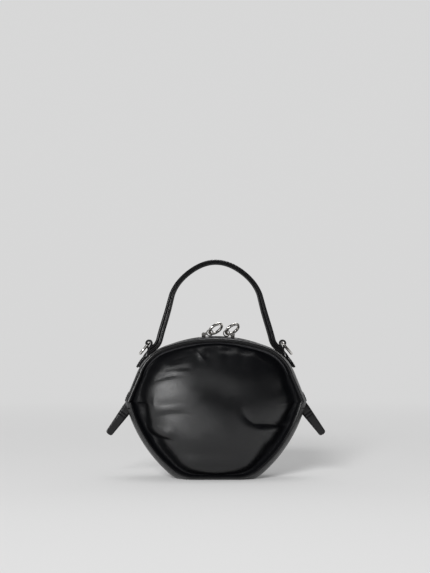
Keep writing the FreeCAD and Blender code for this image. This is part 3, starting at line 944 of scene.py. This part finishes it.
# Rows of stitches
handle_stitch = {"pitch": 0.0034, "size": 0.0025, "width": 0.0006, "sink": 1.15}
chape_stitch = {"pitch": 0.0028, "size": 0.002, "width": 0.0006}
tab_edge_stitch = {"pitch": 0.0024, "size": 0.0018, "width": 0.0005, "sink": 0.95}
tab_cross_stitch = {"pitch": 0.0022, "size": 0.0017, "width": 0.0006}
cover_stitch = {"pitch": 0.0026, "size": 0.0019, "width": 0.0006}

# Gap between the body and what is sewn on it
seat_gap = 0.0002


class BAG_OT_faces(bpy.types.Operator):
    """Front and back faces, puffed, gathered and folded"""

    bl_idname = "bag.faces"
    bl_label = "Faces"

    def execute(self, context):
        face_piece("front_face", -1, front_folds, 11, ["front_panel"])
        face_piece("back_face", 1, back_folds, 23, ["back_panel"])
        return {"FINISHED"}


def strip_rows(low, high, count=900):
    """Places on the outline that lie between two heights, in order.

    They run from left to right over the top, or from right to left under the base.
    """
    x, z, heading = outline(count)
    inside = (z >= low) & (z <= high)
    first = np.flatnonzero(inside & ~np.roll(inside, 1))[0]
    order = (first + np.arange(count)) % count
    keep = order[inside[order]]
    return x[keep], z[keep], heading[keep]


class BAG_OT_side_strip(bpy.types.Operator):
    """Side strip: zip facings above, gusset and base below"""

    bl_idname = "bag.side_strip"
    bl_label = "Side strip"

    def execute(self, context):
        b = settings("body")
        x, z, heading = strip_rows(-1.0, b.strip_join)
        across = np.linspace(-1, 1, 61)[None, :]
        grid = strip_points(x[:, None], z[:, None], heading[:, None], across)
        self.piece("gusset", grid, ["bottom_gusset"])
        x, z, heading = strip_rows(b.strip_join, 1.0)
        inner = (b.zip_gap / seam_width(z))[:, None]
        for name, side in bag_sides:
            across = side * (inner + (1 - inner) * np.linspace(0, 1, 31)[None, :])
            grid = strip_points(x[:, None], z[:, None], heading[:, None], across)
            if side < 0:
                grid = grid[:, ::-1]
            self.piece("facing_" + name, grid, ["zip_facing_" + name])
        return {"FINISHED"}

    def piece(self, name, grid, nodes):
        """A length of leather, its faces turned outwards."""
        rows, columns = grid.shape[:2]
        outward = grid_normals(grid)[rows // 2, columns // 2]
        away = grid[rows // 2, columns // 2] - [0, 0, settings("body").puff_height]
        faces = quads(rows, columns)
        if outward @ away < 0:
            faces = faces[:, ::-1]
        made = add_piece(name, grid, [faces], "shell", "panel_leather", soft_leather(), nodes)
        wall(made, settings("body").leather)


class BAG_OT_piping(bpy.types.Operator):
    """Covered cords in the two long seams"""

    bl_idname = "bag.piping"
    bl_label = "Piping"

    def execute(self, context):
        b = settings("body")
        count, sides = 520, 16
        lean, proud, clearance = 0.6, 0.65, 0.0003
        x, z, heading = outline(count)
        for name, side in bag_sides:
            seam = strip_points(x, z, heading, side * np.ones(count))
            out = stack(np.sin(heading), side * lean, np.cos(heading))
            path = seam + unit(out) * proud * b.piping
            path[:, 2] = np.maximum(path[:, 2], b.piping + clearance)
            add_piece("piping_" + name, *tube(path, b.piping, sides), "shell", "trim_leather",
                      smooth_leather(), [name + "_piping"])
        return {"FINISHED"}


def strap_path():
    """The right half of the handle's path, from the crest to the tongue's end.

    Returns the crest's height, the segments and the centre of the shoulder's arc.
    """
    b, t = settings("body"), settings("trim")
    lift = seat_gap + t.strap_thickness / 2
    centre_x = (b.crown_radius - b.shoulder_radius) * math.sin(b.crown_angle)
    centre_z = b.height - b.crown_radius
    centre_z += (b.crown_radius - b.shoulder_radius) * math.cos(b.crown_angle)
    seat = b.shoulder_radius + lift
    foot_x = centre_x + seat * math.sin(t.strap_join)
    foot_z = centre_z + seat * math.cos(t.strap_join)
    crest = t.strap_top - t.strap_thickness / 2
    wide = foot_x - t.strap_bend * (math.sin(t.strap_lean) - math.sin(t.strap_join))
    drop = crest - foot_z + t.strap_bend * (math.cos(t.strap_lean) - math.cos(t.strap_join))
    slack = 1 - math.cos(t.strap_lean)
    arc = (wide * math.sin(t.strap_lean) - drop * math.cos(t.strap_lean)) / slack
    leg = (drop * math.sin(t.strap_lean) - wide * slack) / slack
    segments = [turn(arc, t.strap_lean), run(leg), turn(t.strap_bend, t.strap_join - t.strap_lean),
                turn(seat, t.strap_tongue - t.strap_join)]
    return crest, segments, (centre_x, centre_z)


# The handle: how it thins to its sewn ends, fills out, sinks onto the shoulders and is rounded, and the
# half length about its pivot that is passed with its body but bends nothing
strap_tip, strap_tip_least = 0.006, 0.05
strap_end_thinning, strap_fullness, strap_leg_fullness = 0.64, 0.1, 0.28
strap_leg_top, strap_leg_fade = 0.205, 0.05
strap_foot_top, strap_foot_fade = 0.17, 0.03
strap_end_sink, strap_end_fade = 0.0006, 0.012
strap_crest_drop, strap_arch_drop = 0.0012, 0.0011
strap_round, strap_notch, strap_groove = 0.0011, 0.2, 0.00025
strap_bend_half = 0.006


class BAG_OT_handle(bpy.types.Operator):
    """Handle strap, with its sewn tongues and its stitching"""

    bl_idname = "bag.handle"
    bl_label = "Handle"

    def execute(self, context):
        t = settings("trim")
        crest, segments, _ = strap_path()
        half = total(segments)
        end_x, end_z, end_heading = walk((0.0, crest, 0.0), segments, np.array([half]))
        along = np.linspace(0, 2 * half, 521)
        x, z, heading = walk((-end_x[0], end_z[0], -end_heading[0]), segments[::-1] + segments, along)
        out, across = square_out(heading), backwards(len(along))
        from_end = half - np.abs(along - half)
        sewn = segments[3][0]
        thin = smooth(1 - (from_end - 0.55 * sewn) / (0.35 * sewn))
        fuller = strap_fullness + strap_leg_fullness * smooth((strap_leg_top - z) / strap_leg_fade)
        thickness = t.strap_thickness * (1 - strap_end_thinning * thin) * (1 + fuller * (1 - thin))
        seated = smooth(1 - (from_end - sewn) / strap_end_fade)
        arch = np.minimum(np.abs(along - half) / segments[0][0], 1.0)
        lower = (t.strap_thickness - thickness) / 2 * smooth((strap_foot_top - z) / strap_foot_fade)
        lower = lower + strap_end_sink * seated
        lower = lower + strap_crest_drop * (1 - arch ** 4) + strap_arch_drop * np.sin(np.pi * arch) ** 2
        centre = stack(x, t.strap_y, z) - out * lower[:, None]
        tip = np.sqrt(1 - ((strap_tip - from_end) / strap_tip).clip(0, 1) ** 2)
        half_width = t.strap_width / 2 * np.maximum(tip, strap_tip_least)
        body = ("shell", "handle", (0.0, t.strap_y, t.strap_pivot - strap_bend_half),
                (0.0, t.strap_y, t.strap_pivot + strap_bend_half))
        points, faces = band(centre, across, out, half_width, thickness / 2, strap_round, strap_notch,
                             strap_groove)
        add_piece("handle_leather", points, faces, body, "trim_leather", smooth_leather(),
                  ["handle_strap", "handle_lining", "handle_core", "handle_end_left", "handle_end_right"])
        rows = []
        inner = slice(8, -8)
        for side in (-1, 1):
            edge = centre + across * (side * 0.8 * half_width)[:, None]
            for face in (out, -out):
                line = edge + face * (thickness / 2)[:, None]
                rows.append(stitches(line[inner], face[inner], **handle_stitch))
        add_piece("handle_stitching", *merge(rows), body, "trim_leather", thread())
        return {"FINISHED"}


# The chapes: leather on the shoulder and round the ring, its gap over the tongue, how its tail settles,
# where it thickens round the ring, and the rounding of its edges
chape_layer, chape_loop_layer = 0.001, 0.0019
chape_gap = 0.0003
chape_settle = 0.0011
chape_eye, chape_eye_fade = 0.0075, 0.004
chape_round = 0.0004

# Half the gap between the chape's two layers, and how far past half a turn it wraps the ring
chape_parting = 0.00005
chape_wrap = 0.9


class BAG_OT_ring_chapes(bpy.types.Operator):
    """Chapes on the shoulders and the D-rings that they hold"""

    bl_idname = "bag.ring_chapes"
    bl_label = "Ring chapes"

    def execute(self, context):
        b, t = settings("body"), settings("trim")
        shoulder = strap_path()[2]
        layer, thick = chape_layer, chape_loop_layer
        lift = seat_gap + t.strap_thickness / 3 + chape_gap + layer
        seat = b.shoulder_radius + lift
        start = (shoulder[0] + seat * math.sin(t.chape_join), shoulder[1] + seat * math.cos(t.chape_join))
        rise = [turn(t.chape_bend, t.chape_neck_angle - t.chape_join), run(t.chape_neck + t.chape_bore)]
        up_x, up_z, up_heading = walk((*start, t.chape_join + math.pi), rise, np.linspace(0, total(rise), 60))
        loop = np.array([up_x[-1], up_z[-1]])
        tail = [turn(seat, t.chape_end - t.chape_join)]
        down_x, down_z, down_heading = walk((*start, t.chape_join), tail, np.linspace(0, total(tail), 60))
        settle = chape_settle * smooth(np.linspace(0, 3, 60))
        down_x, down_z = down_x - settle * np.sin(down_heading), down_z - settle * np.cos(down_heading)
        path = self.folded(up_x, up_z, up_heading, down_x, down_z, down_heading, loop)
        centre = stack(path[:, 0], t.strap_y, path[:, 1])
        across = backwards(len(path))
        ahead = unit(np.gradient(centre, axis=0))
        through = np.cross(ahead, across)
        near = smooth((chape_eye - np.linalg.norm(path - loop, axis=-1)) / chape_eye_fade)
        right = band(centre, across, through, t.chape_width / 2, (layer + (thick - layer) * near) / 2,
                     chape_round)
        facing = square_out(down_heading)
        top = stack(down_x, t.strap_y, down_z) + facing * layer
        keep = slice(8, -4)
        rows = merge([stitches((top + [0, side * 0.36 * t.chape_width, 0])[keep], facing[keep],
                               **chape_stitch) for side in (-1, 1)])
        ring = self.d_ring(loop)
        for name, flip in (("right", lambda part: part), ("left", mirrored)):
            add_piece("chape_" + name, *flip(right), "shell", "trim_leather", smooth_leather(),
                      ["ring_chape_" + name])
            add_piece("chape_stitching_" + name, *flip(rows), "shell", "trim_leather", thread())
            add_piece("ring_" + name, *flip(ring), "ring_loop_" + name, "ring_metal", metal(),
                      ["d_ring_" + name])
        return {"FINISHED"}

    def folded(self, up_x, up_z, up_heading, down_x, down_z, down_heading, loop):
        """The leather's middle line: up the outside from the tail, round the ring's bar and back down."""
        t = settings("trim")
        half = 0.5 * chape_layer + chape_parting
        up = np.stack([up_x, up_z], axis=-1)
        up_left = np.stack([np.sin(up_heading), np.cos(up_heading)], axis=-1)
        down = np.stack([down_x, down_z], axis=-1)
        down_left = np.stack([np.sin(down_heading), np.cos(down_heading)], axis=-1)
        keep = np.linalg.norm(up - loop, axis=-1) > t.chape_bore + 2 * chape_loop_layer
        heading = up_heading[-1]
        left_side = math.atan2(math.cos(heading), math.sin(heading))
        turn_round = left_side + chape_wrap - np.linspace(0, 1, 48) * (np.pi + 2 * chape_wrap)
        radius = t.chape_bore + chape_loop_layer / 2
        circle = loop + radius * np.stack([np.cos(turn_round), np.sin(turn_round)], axis=-1)
        first_down = down[::-1] - half * down_left[::-1]
        second_down = down + half * down_left
        line = np.vstack([first_down[:-2], (up + half * up_left)[keep], circle,
                          (up - half * up_left)[keep][::-1], second_down[2:]])
        along = lengths_along(line)
        line = resampled(line, along, np.linspace(0, along[-1], 300))
        kernel = np.hanning(9)[1:-1] / np.hanning(9).sum()
        soft = np.stack([np.convolve(column, kernel, "same") for column in line.T], axis=-1)
        soft[:4], soft[-4:] = line[:4], line[-4:]
        return soft

    def d_ring(self, loop):
        """A straight bar, two legs and a half-round bow, in the plane that leans out from the shoulder."""
        t = settings("trim")
        bar = t.d_ring_half - t.d_ring_corner
        leg = t.d_ring_leg - t.d_ring_corner
        quarter = turn(t.d_ring_corner, math.pi / 2)
        outline_d = [run(bar), quarter, run(leg), turn(t.d_ring_half, math.pi), run(leg), quarter, run(bar)]
        along = np.linspace(0, total(outline_d), 160, endpoint=False)
        y, down, _ = walk((0.0, 0.0, 0.0), outline_d, along)
        lean = np.array([math.sin(t.d_ring_hang), -math.cos(t.d_ring_hang)])
        path = stack(loop[0] - down * lean[0], t.strap_y + y, loop[1] - down * lean[1])
        return tube(path, t.d_ring_wire, 20, (math.cos(t.d_ring_hang), 0.0, math.sin(t.d_ring_hang)))


# The tabs: from root to bend, what lies under the cover, half a length about the bend that is passed with
# their body, the rounding of the tip, the two seams across, where the stitches run, and the rounding and
# groove of the leather
tab_reach, tab_buried, tab_bend_half = 0.009, 0.007, 0.004
tab_tip, tab_tip_cut = 0.0024, 0.0022
tab_seams, tab_seam_spread, tab_seam_dip = (0.0045, 0.0075), 0.0006, 0.22
tab_stitch_place, tab_stitch_end, tab_end_seam, tab_cross_lift = 0.72, 0.0018, 0.0016, 0.92
tab_round, tab_groove = 0.0012, 0.0007

# The covers on the zip's ends: reach above and below the waist, sink into the strip, half width, corner,
# half thickness, edge rounding, and where the stitches run and stop
cover_above, cover_below = 0.007, 0.0108
cover_sink, cover_half, cover_corner = 0.0010, 0.0082, 0.002
cover_half_thickness, cover_round = 0.0011, 0.0006
cover_stitch_place, cover_stitch_end = 0.0066, 0.0016


class BAG_OT_tabs(bpy.types.Operator):
    """Tabs over the zip's ends, sewn round the border"""

    bl_idname = "bag.tabs"
    bl_label = "Zip-end tabs"

    def execute(self, context):
        t = settings("trim")
        slope = np.array([math.cos(t.tab_slope), 0.0, -math.sin(t.tab_slope)])
        square = np.array([math.sin(t.tab_slope), 0.0, math.cos(t.tab_slope)])
        pivot = joint_place("tab_right_bend")
        root = pivot - slope * tab_reach
        along = np.linspace(-tab_buried, t.tab_length, 90)
        taper = (t.tab_root_half - t.tab_tip_half) / t.tab_length
        half_width = t.tab_root_half - taper * np.maximum(along, 0.0)
        from_tip = (t.tab_length - along) / tab_tip
        half_width = half_width - tab_tip_cut * (1 - np.sqrt(1 - (1 - from_tip).clip(0, 1) ** 2))
        dips = sum(np.exp(-((along - place) / tab_seam_spread) ** 2) for place in tab_seams)
        half_thickness = t.tab_half_thickness * (1 - tab_seam_dip * dips)
        centre = root + slope * along[:, None]
        across = np.broadcast_to(square, centre.shape)
        through = np.broadcast_to(np.array([0.0, -1.0, 0.0]), centre.shape)
        right = band(centre, across, through, half_width, half_thickness, tab_round, 0.0, tab_groove,
                     tab_stitch_place)
        rows = []
        keep = (along > tab_reach) & (along < t.tab_length - tab_stitch_end)
        for face in (-1, 1):
            out = np.array([0.0, face, 0.0])
            for edge in (-1, 1):
                line = centre + across * (edge * tab_stitch_place * half_width)[:, None]
                line = (line + out * half_thickness[:, None])[keep]
                rows.append(stitches(line, np.broadcast_to(out, line.shape), **tab_edge_stitch))
            for place in (*tab_seams, t.tab_length - tab_end_seam):
                ends = np.linspace(-tab_stitch_place, tab_stitch_place, 12)[:, None]
                ends = ends * np.interp(place, along, half_width)
                line = root + slope * place + ends * square + out * t.tab_half_thickness * tab_cross_lift
                rows.append(stitches(line, np.broadcast_to(out, line.shape), **tab_cross_stitch))
        rows = merge(rows)
        cover, sewn = self.cover()
        for name, flip, sign in (("right", lambda part: part, 1), ("left", mirrored, -1)):
            begin = (pivot - slope * tab_bend_half) * [sign, 1, 1]
            end = (pivot + slope * tab_bend_half) * [sign, 1, 1]
            body = ("shell", "tab_" + name, tuple(begin), tuple(end))
            add_piece("tab_leather_" + name, *flip(right), body, "trim_leather", smooth_leather(),
                      ["zip_tab_" + name])
            add_piece("zip_end_cover_" + name, *flip(cover), "shell", "trim_leather", smooth_leather(),
                      ["tab_root_" + name])
            add_piece("cover_stitching_" + name, *flip(sewn), "shell", "trim_leather", thread())
            add_piece("tab_stitching_" + name, *flip(rows), body, "trim_leather", thread())
        return {"FINISHED"}

    def cover(self):
        """A leather patch over the zip's end, on the strip's surface, and its stitches."""
        b = settings("body")
        half, _ = outline_segments()
        side = total(half[:3])
        along = np.linspace(side - cover_above, side + cover_below, 72)
        x, z, heading = walk((0.0, b.height, 0.0), half, along)
        out, across = square_out(heading), backwards(len(along))
        centre = stack(x, 0.0, z) - out * cover_sink
        from_end = np.minimum(along - along[0], along[-1] - along)
        rounded = 1 - np.sqrt(1 - (1 - np.clip(from_end / cover_corner, 0, 1)) ** 2)
        half_width = cover_half - cover_corner * rounded
        patch = band(centre, across, out, half_width, cover_half_thickness, cover_round)
        beside = across * cover_stitch_place
        line = np.concatenate([centre + beside, (centre - beside)[::-1]])
        facing = np.concatenate([out, out[::-1]])
        keep = np.concatenate([from_end, from_end[::-1]]) > cover_stitch_end
        line = line + facing * cover_half_thickness
        return patch, stitches(line[keep], facing[keep], **cover_stitch)


class BAG_OT_zip(bpy.types.Operator):
    """Zip: tapes, teeth, sliders, links and ring pulls"""

    bl_idname = "bag.zip"
    bl_label = "Zip"

    def execute(self, context):
        t = settings("trim")
        for node in ("zip_teeth_front", "zip_teeth_back", "zip_end_stops", "slider_left", "slider_right",
                     "pull_link_left", "pull_link_right"):
            dress(node, metal())
        for node in ("zip_tape_front", "zip_tape_back"):
            dress(node, zip_cloth())
        rise = np.array([math.cos(t.pull_angle), 0.0, math.sin(t.pull_angle)])
        beside = np.array([-math.sin(t.pull_angle), 0.0, math.cos(t.pull_angle)])
        other = beside * math.cos(t.pull_tilt) - np.array([0.0, 1.0, 0.0]) * math.sin(t.pull_tilt)
        axis = np.cross(rise, other)
        turns = np.linspace(0, 2 * np.pi, 96, endpoint=False)[:, None]
        for name in ("left", "right"):
            centre = joint_place("ring_" + name + "_swing") + rise * t.pull_radius
            path = centre + t.pull_radius * (np.cos(turns) * rise + np.sin(turns) * other)
            add_piece("pull_" + name, *tube(path, t.pull_wire, 24, axis), "pull_" + name, "ring_metal",
                      metal(), ["pull_ring_" + name])
        return {"FINISHED"}


# The lining: its edge beside the zip, its gap inside the leather, how much further in its middle lies,
# and its thickness
lining_edge, lining_edge_fade = 0.0078, 0.004
lining_gap, lining_hub_gap = 0.0022, 0.0038
lining_thickness = 0.0006


class BAG_OT_inside(bpy.types.Operator):
    """Lining, slip pocket and base board"""

    bl_idname = "bag.inside"
    bl_label = "Inside"

    def execute(self, context):
        b = settings("body")
        for name, side in bag_sides:
            grid, hub, _ = face_points(side, [], 5, 160, 40)
            x, z, heading = outline(160)
            upper = smooth((z - b.strip_join + lining_edge_fade) / lining_edge_fade)
            inner = (lining_edge / seam_width(z) * upper)[:, None]
            across = side * (inner + (1 - inner) * np.linspace(0, 1, 14)[None, :-1])
            strip = strip_points(x[:, None], z[:, None], heading[:, None], across)
            grid = np.concatenate([strip, grid], axis=1)
            normals = grid_normals(grid, wrap_rows=True)
            outward = np.sign((normals * (grid - [0, 0, b.puff_height])).sum(-1).mean())
            grid = grid - outward * normals * (b.leather + lining_gap)
            points = np.vstack([grid.reshape(-1, 3), hub - [[0, side * lining_hub_gap, 0]]])
            made = add_piece("lining_" + name, points, dome_faces(*grid.shape[:2], outward < 0), "shell",
                             "lining_cloth", lining_cloth(), [name + "_lining"])
            wall(made, lining_thickness)
        dress("base_board", board())
        dress("slip_pocket", lining_cloth())
        return {"FINISHED"}


class BAG_OT_stage(bpy.types.Operator):
    """Floor, backdrop, light and camera"""

    bl_idname = "bag.stage"
    bl_label = "Stage"

    def execute(self, context):
        s = settings("stage")
        scene = context.scene
        scene.view_settings.view_transform = "Standard"
        self.floor(s)
        self.world(s)
        self.lamp("key", (-0.95, -4.75, 1.75), 0.08, size=(1.2, 1.2), power=345.0, gloss=False)
        self.lamp("softbox", (-2.6, -2.7, 0.45), 0.08, size=(1.7, 1.0), power=95.0, matt=False)
        self.lamp("top", (0.3, 0.3, 4.0), 0.1, size=(2.0, 2.0), power=25.0)
        self.lamp("back", (0.5, 2.0, 2.6), 0.1, size=(1.6, 0.8), power=28.0, matt=False)
        self.card()
        camera = bpy.data.cameras.new("camera")
        camera.sensor_fit = "VERTICAL"
        camera.angle_y = 2 * math.atan(s.frame_height / 2 / s.distance)
        held = bpy.data.objects.new("camera", camera)
        scene.collection.objects.link(held)
        held.location = (s.camera_x, -s.distance, s.camera_z)
        held.rotation_euler = (math.pi / 2, 0.0, 0.0)
        scene.camera = held
        return {"FINISHED"}

    def floor(self, s):
        """A wide floor that curves up into a wall behind: a quarter arc between two flats."""
        front, depth, sweep, wall_height, half_width = -2.5, 4.0, 1.0, 3.0, 4.0
        path = [run(depth), turn(sweep, -math.pi / 2), run(wall_height)]
        y, z, _ = walk((front, 0.0, 0.0), path, np.linspace(0, total(path), 90))
        grid = stack(np.array([[-half_width], [half_width]]), y[None, :], z[None, :])
        paper = bpy.data.materials.new("backdrop_paper")
        shader = Shader(paper)
        glow = shader.node("ShaderNodeEmission", None, {"Color": (*s.backdrop, 1.0), "Strength": 1.0})
        matt = shader.node("ShaderNodeBsdfDiffuse", None, {"Color": (*s.backdrop, 1.0)})
        away = shader.node("ShaderNodeVectorMath", {"operation": "LENGTH"}, {0: shader.places()}, "Value")
        lit = shader.ramp(away / 1.5, [(0.25, 0.85), (0.9, 0.03)])
        both = shader.node("ShaderNodeMixShader", None, {0: lit, 1: glow, 2: matt})
        shader.node("ShaderNodeOutputMaterial", None, {"Surface": both})
        floor = add_object("floor", grid, [quads(2, len(y))], paper)

    def card(self):
        """Black cards that only reflections show: a dome round the front, open at the top and the back.

        A point is radius (sin a cos e, -cos a cos e, sin e), with the bearing a from the left and the rise
        e from a low edge up. The low edge lifts on the left, where it leaves a window for the softbox.
        """
        radius, top, columns, rows = 1.9, 72, 131, 12
        bearing = np.linspace(-150, 110, columns)[:, None]
        low = np.interp(bearing, [-66, -62, -28, -24], [1.0, 33.0, 33.0, 1.0])
        rise = np.radians(low + (top - low) * np.linspace(0, 1, rows)[None, :])
        bearing = np.radians(bearing)
        grid = radius * stack(np.sin(bearing) * np.cos(rise), -np.cos(bearing) * np.cos(rise), np.sin(rise))
        felt = bpy.data.materials.new("black_felt")
        shader = Shader(felt)
        matt = shader.node("ShaderNodeBsdfDiffuse", None, {"Color": (0.01, 0.01, 0.01, 1.0)})
        shader.node("ShaderNodeOutputMaterial", None, {"Surface": matt})
        card = add_object("black_card", grid, [quads(columns, rows)], felt)
        card.visible_camera = card.visible_diffuse = card.visible_shadow = False

    def world(self, s):
        """Pale to the camera and in reflections, and a plain level of light elsewhere."""
        world = bpy.data.worlds.new("studio")
        bpy.context.scene.world = world
        shader = Shader(world)
        rays = self.rays(shader, "Is Camera Ray") + self.rays(shader, "Is Glossy Ray")
        rays = shader.held(rays + self.rays(shader, "Is Transmission Ray"))
        fill = (0.35, 0.35, 0.35)
        tone = shader.mix(rays, fill, tuple(s.backdrop))
        light = shader.node("ShaderNodeBackground", None, {"Color": tone, "Strength": 1.0})
        shader.node("ShaderNodeOutputWorld", None, {"Surface": light})

    def rays(self, shader, kind):
        return shader.node("ShaderNodeLightPath", output=kind)

    def lamp(self, name, place, aim_height, size, power, matt=True, gloss=True):
        """A flat lamp that faces a height on the bag's middle.

        Matt and gloss say whether it lights matt surfaces and whether it shows in glossy ones.
        """
        data = bpy.data.lights.new(name, "AREA")
        data.shape = "RECTANGLE"
        data.size, data.size_y = size
        data.energy = power
        lamp = bpy.data.objects.new(name, data)
        bpy.context.scene.collection.objects.link(lamp)
        lamp.location = place
        lamp.visible_camera, lamp.visible_diffuse, lamp.visible_glossy = False, matt, gloss
        ahead = np.array((0.0, 0.0, aim_height)) - np.array(place)
        flat = math.hypot(ahead[0], ahead[1])
        lamp.rotation_euler = (math.atan2(flat, -ahead[2]), 0.0, math.atan2(-ahead[0], ahead[1]))


class BAG_PT_sidebar(bpy.types.Panel):
    """Lists the bag's pieces and sizes"""

    bl_idname = "BAG_PT_sidebar"
    bl_label = "Circle bag"
    bl_space_type = "VIEW_3D"
    bl_region_type = "UI"
    bl_category = "Circle bag"

    def draw(self, context):
        for operator in operators:
            self.layout.operator(operator.bl_idname)
        for name, group in groups.items():
            box = self.layout.box()
            box.label(text=group.__doc__)
            for field in group.__annotations__:
                box.prop(settings(name), field, text=field.replace("_", " ").capitalize())


groups = {"body": BodySizes, "puff": PuffSizes, "trim": TrimSizes, "finish": Finishes, "stage": StageSizes}
operators = [BAG_OT_stage, BAG_OT_faces, BAG_OT_side_strip, BAG_OT_piping, BAG_OT_handle, BAG_OT_ring_chapes,
             BAG_OT_tabs, BAG_OT_zip, BAG_OT_inside]


def register():
    for cls in [*groups.values(), *operators, BAG_PT_sidebar]:
        bpy.utils.register_class(cls)
    for name, group in groups.items():
        setattr(bpy.types.Scene, "bag_" + name, bpy.props.PointerProperty(type=group))


def unregister():
    for name in groups:
        delattr(bpy.types.Scene, "bag_" + name)
    for cls in [BAG_PT_sidebar, *operators[::-1], *list(groups.values())[::-1]]:
        bpy.utils.unregister_class(cls)


def main():
    register()
    for operator in operators:
        group, call = operator.bl_idname.split(".")
        getattr(getattr(bpy.ops, group), call)()


if __name__ == "__main__":
    main()
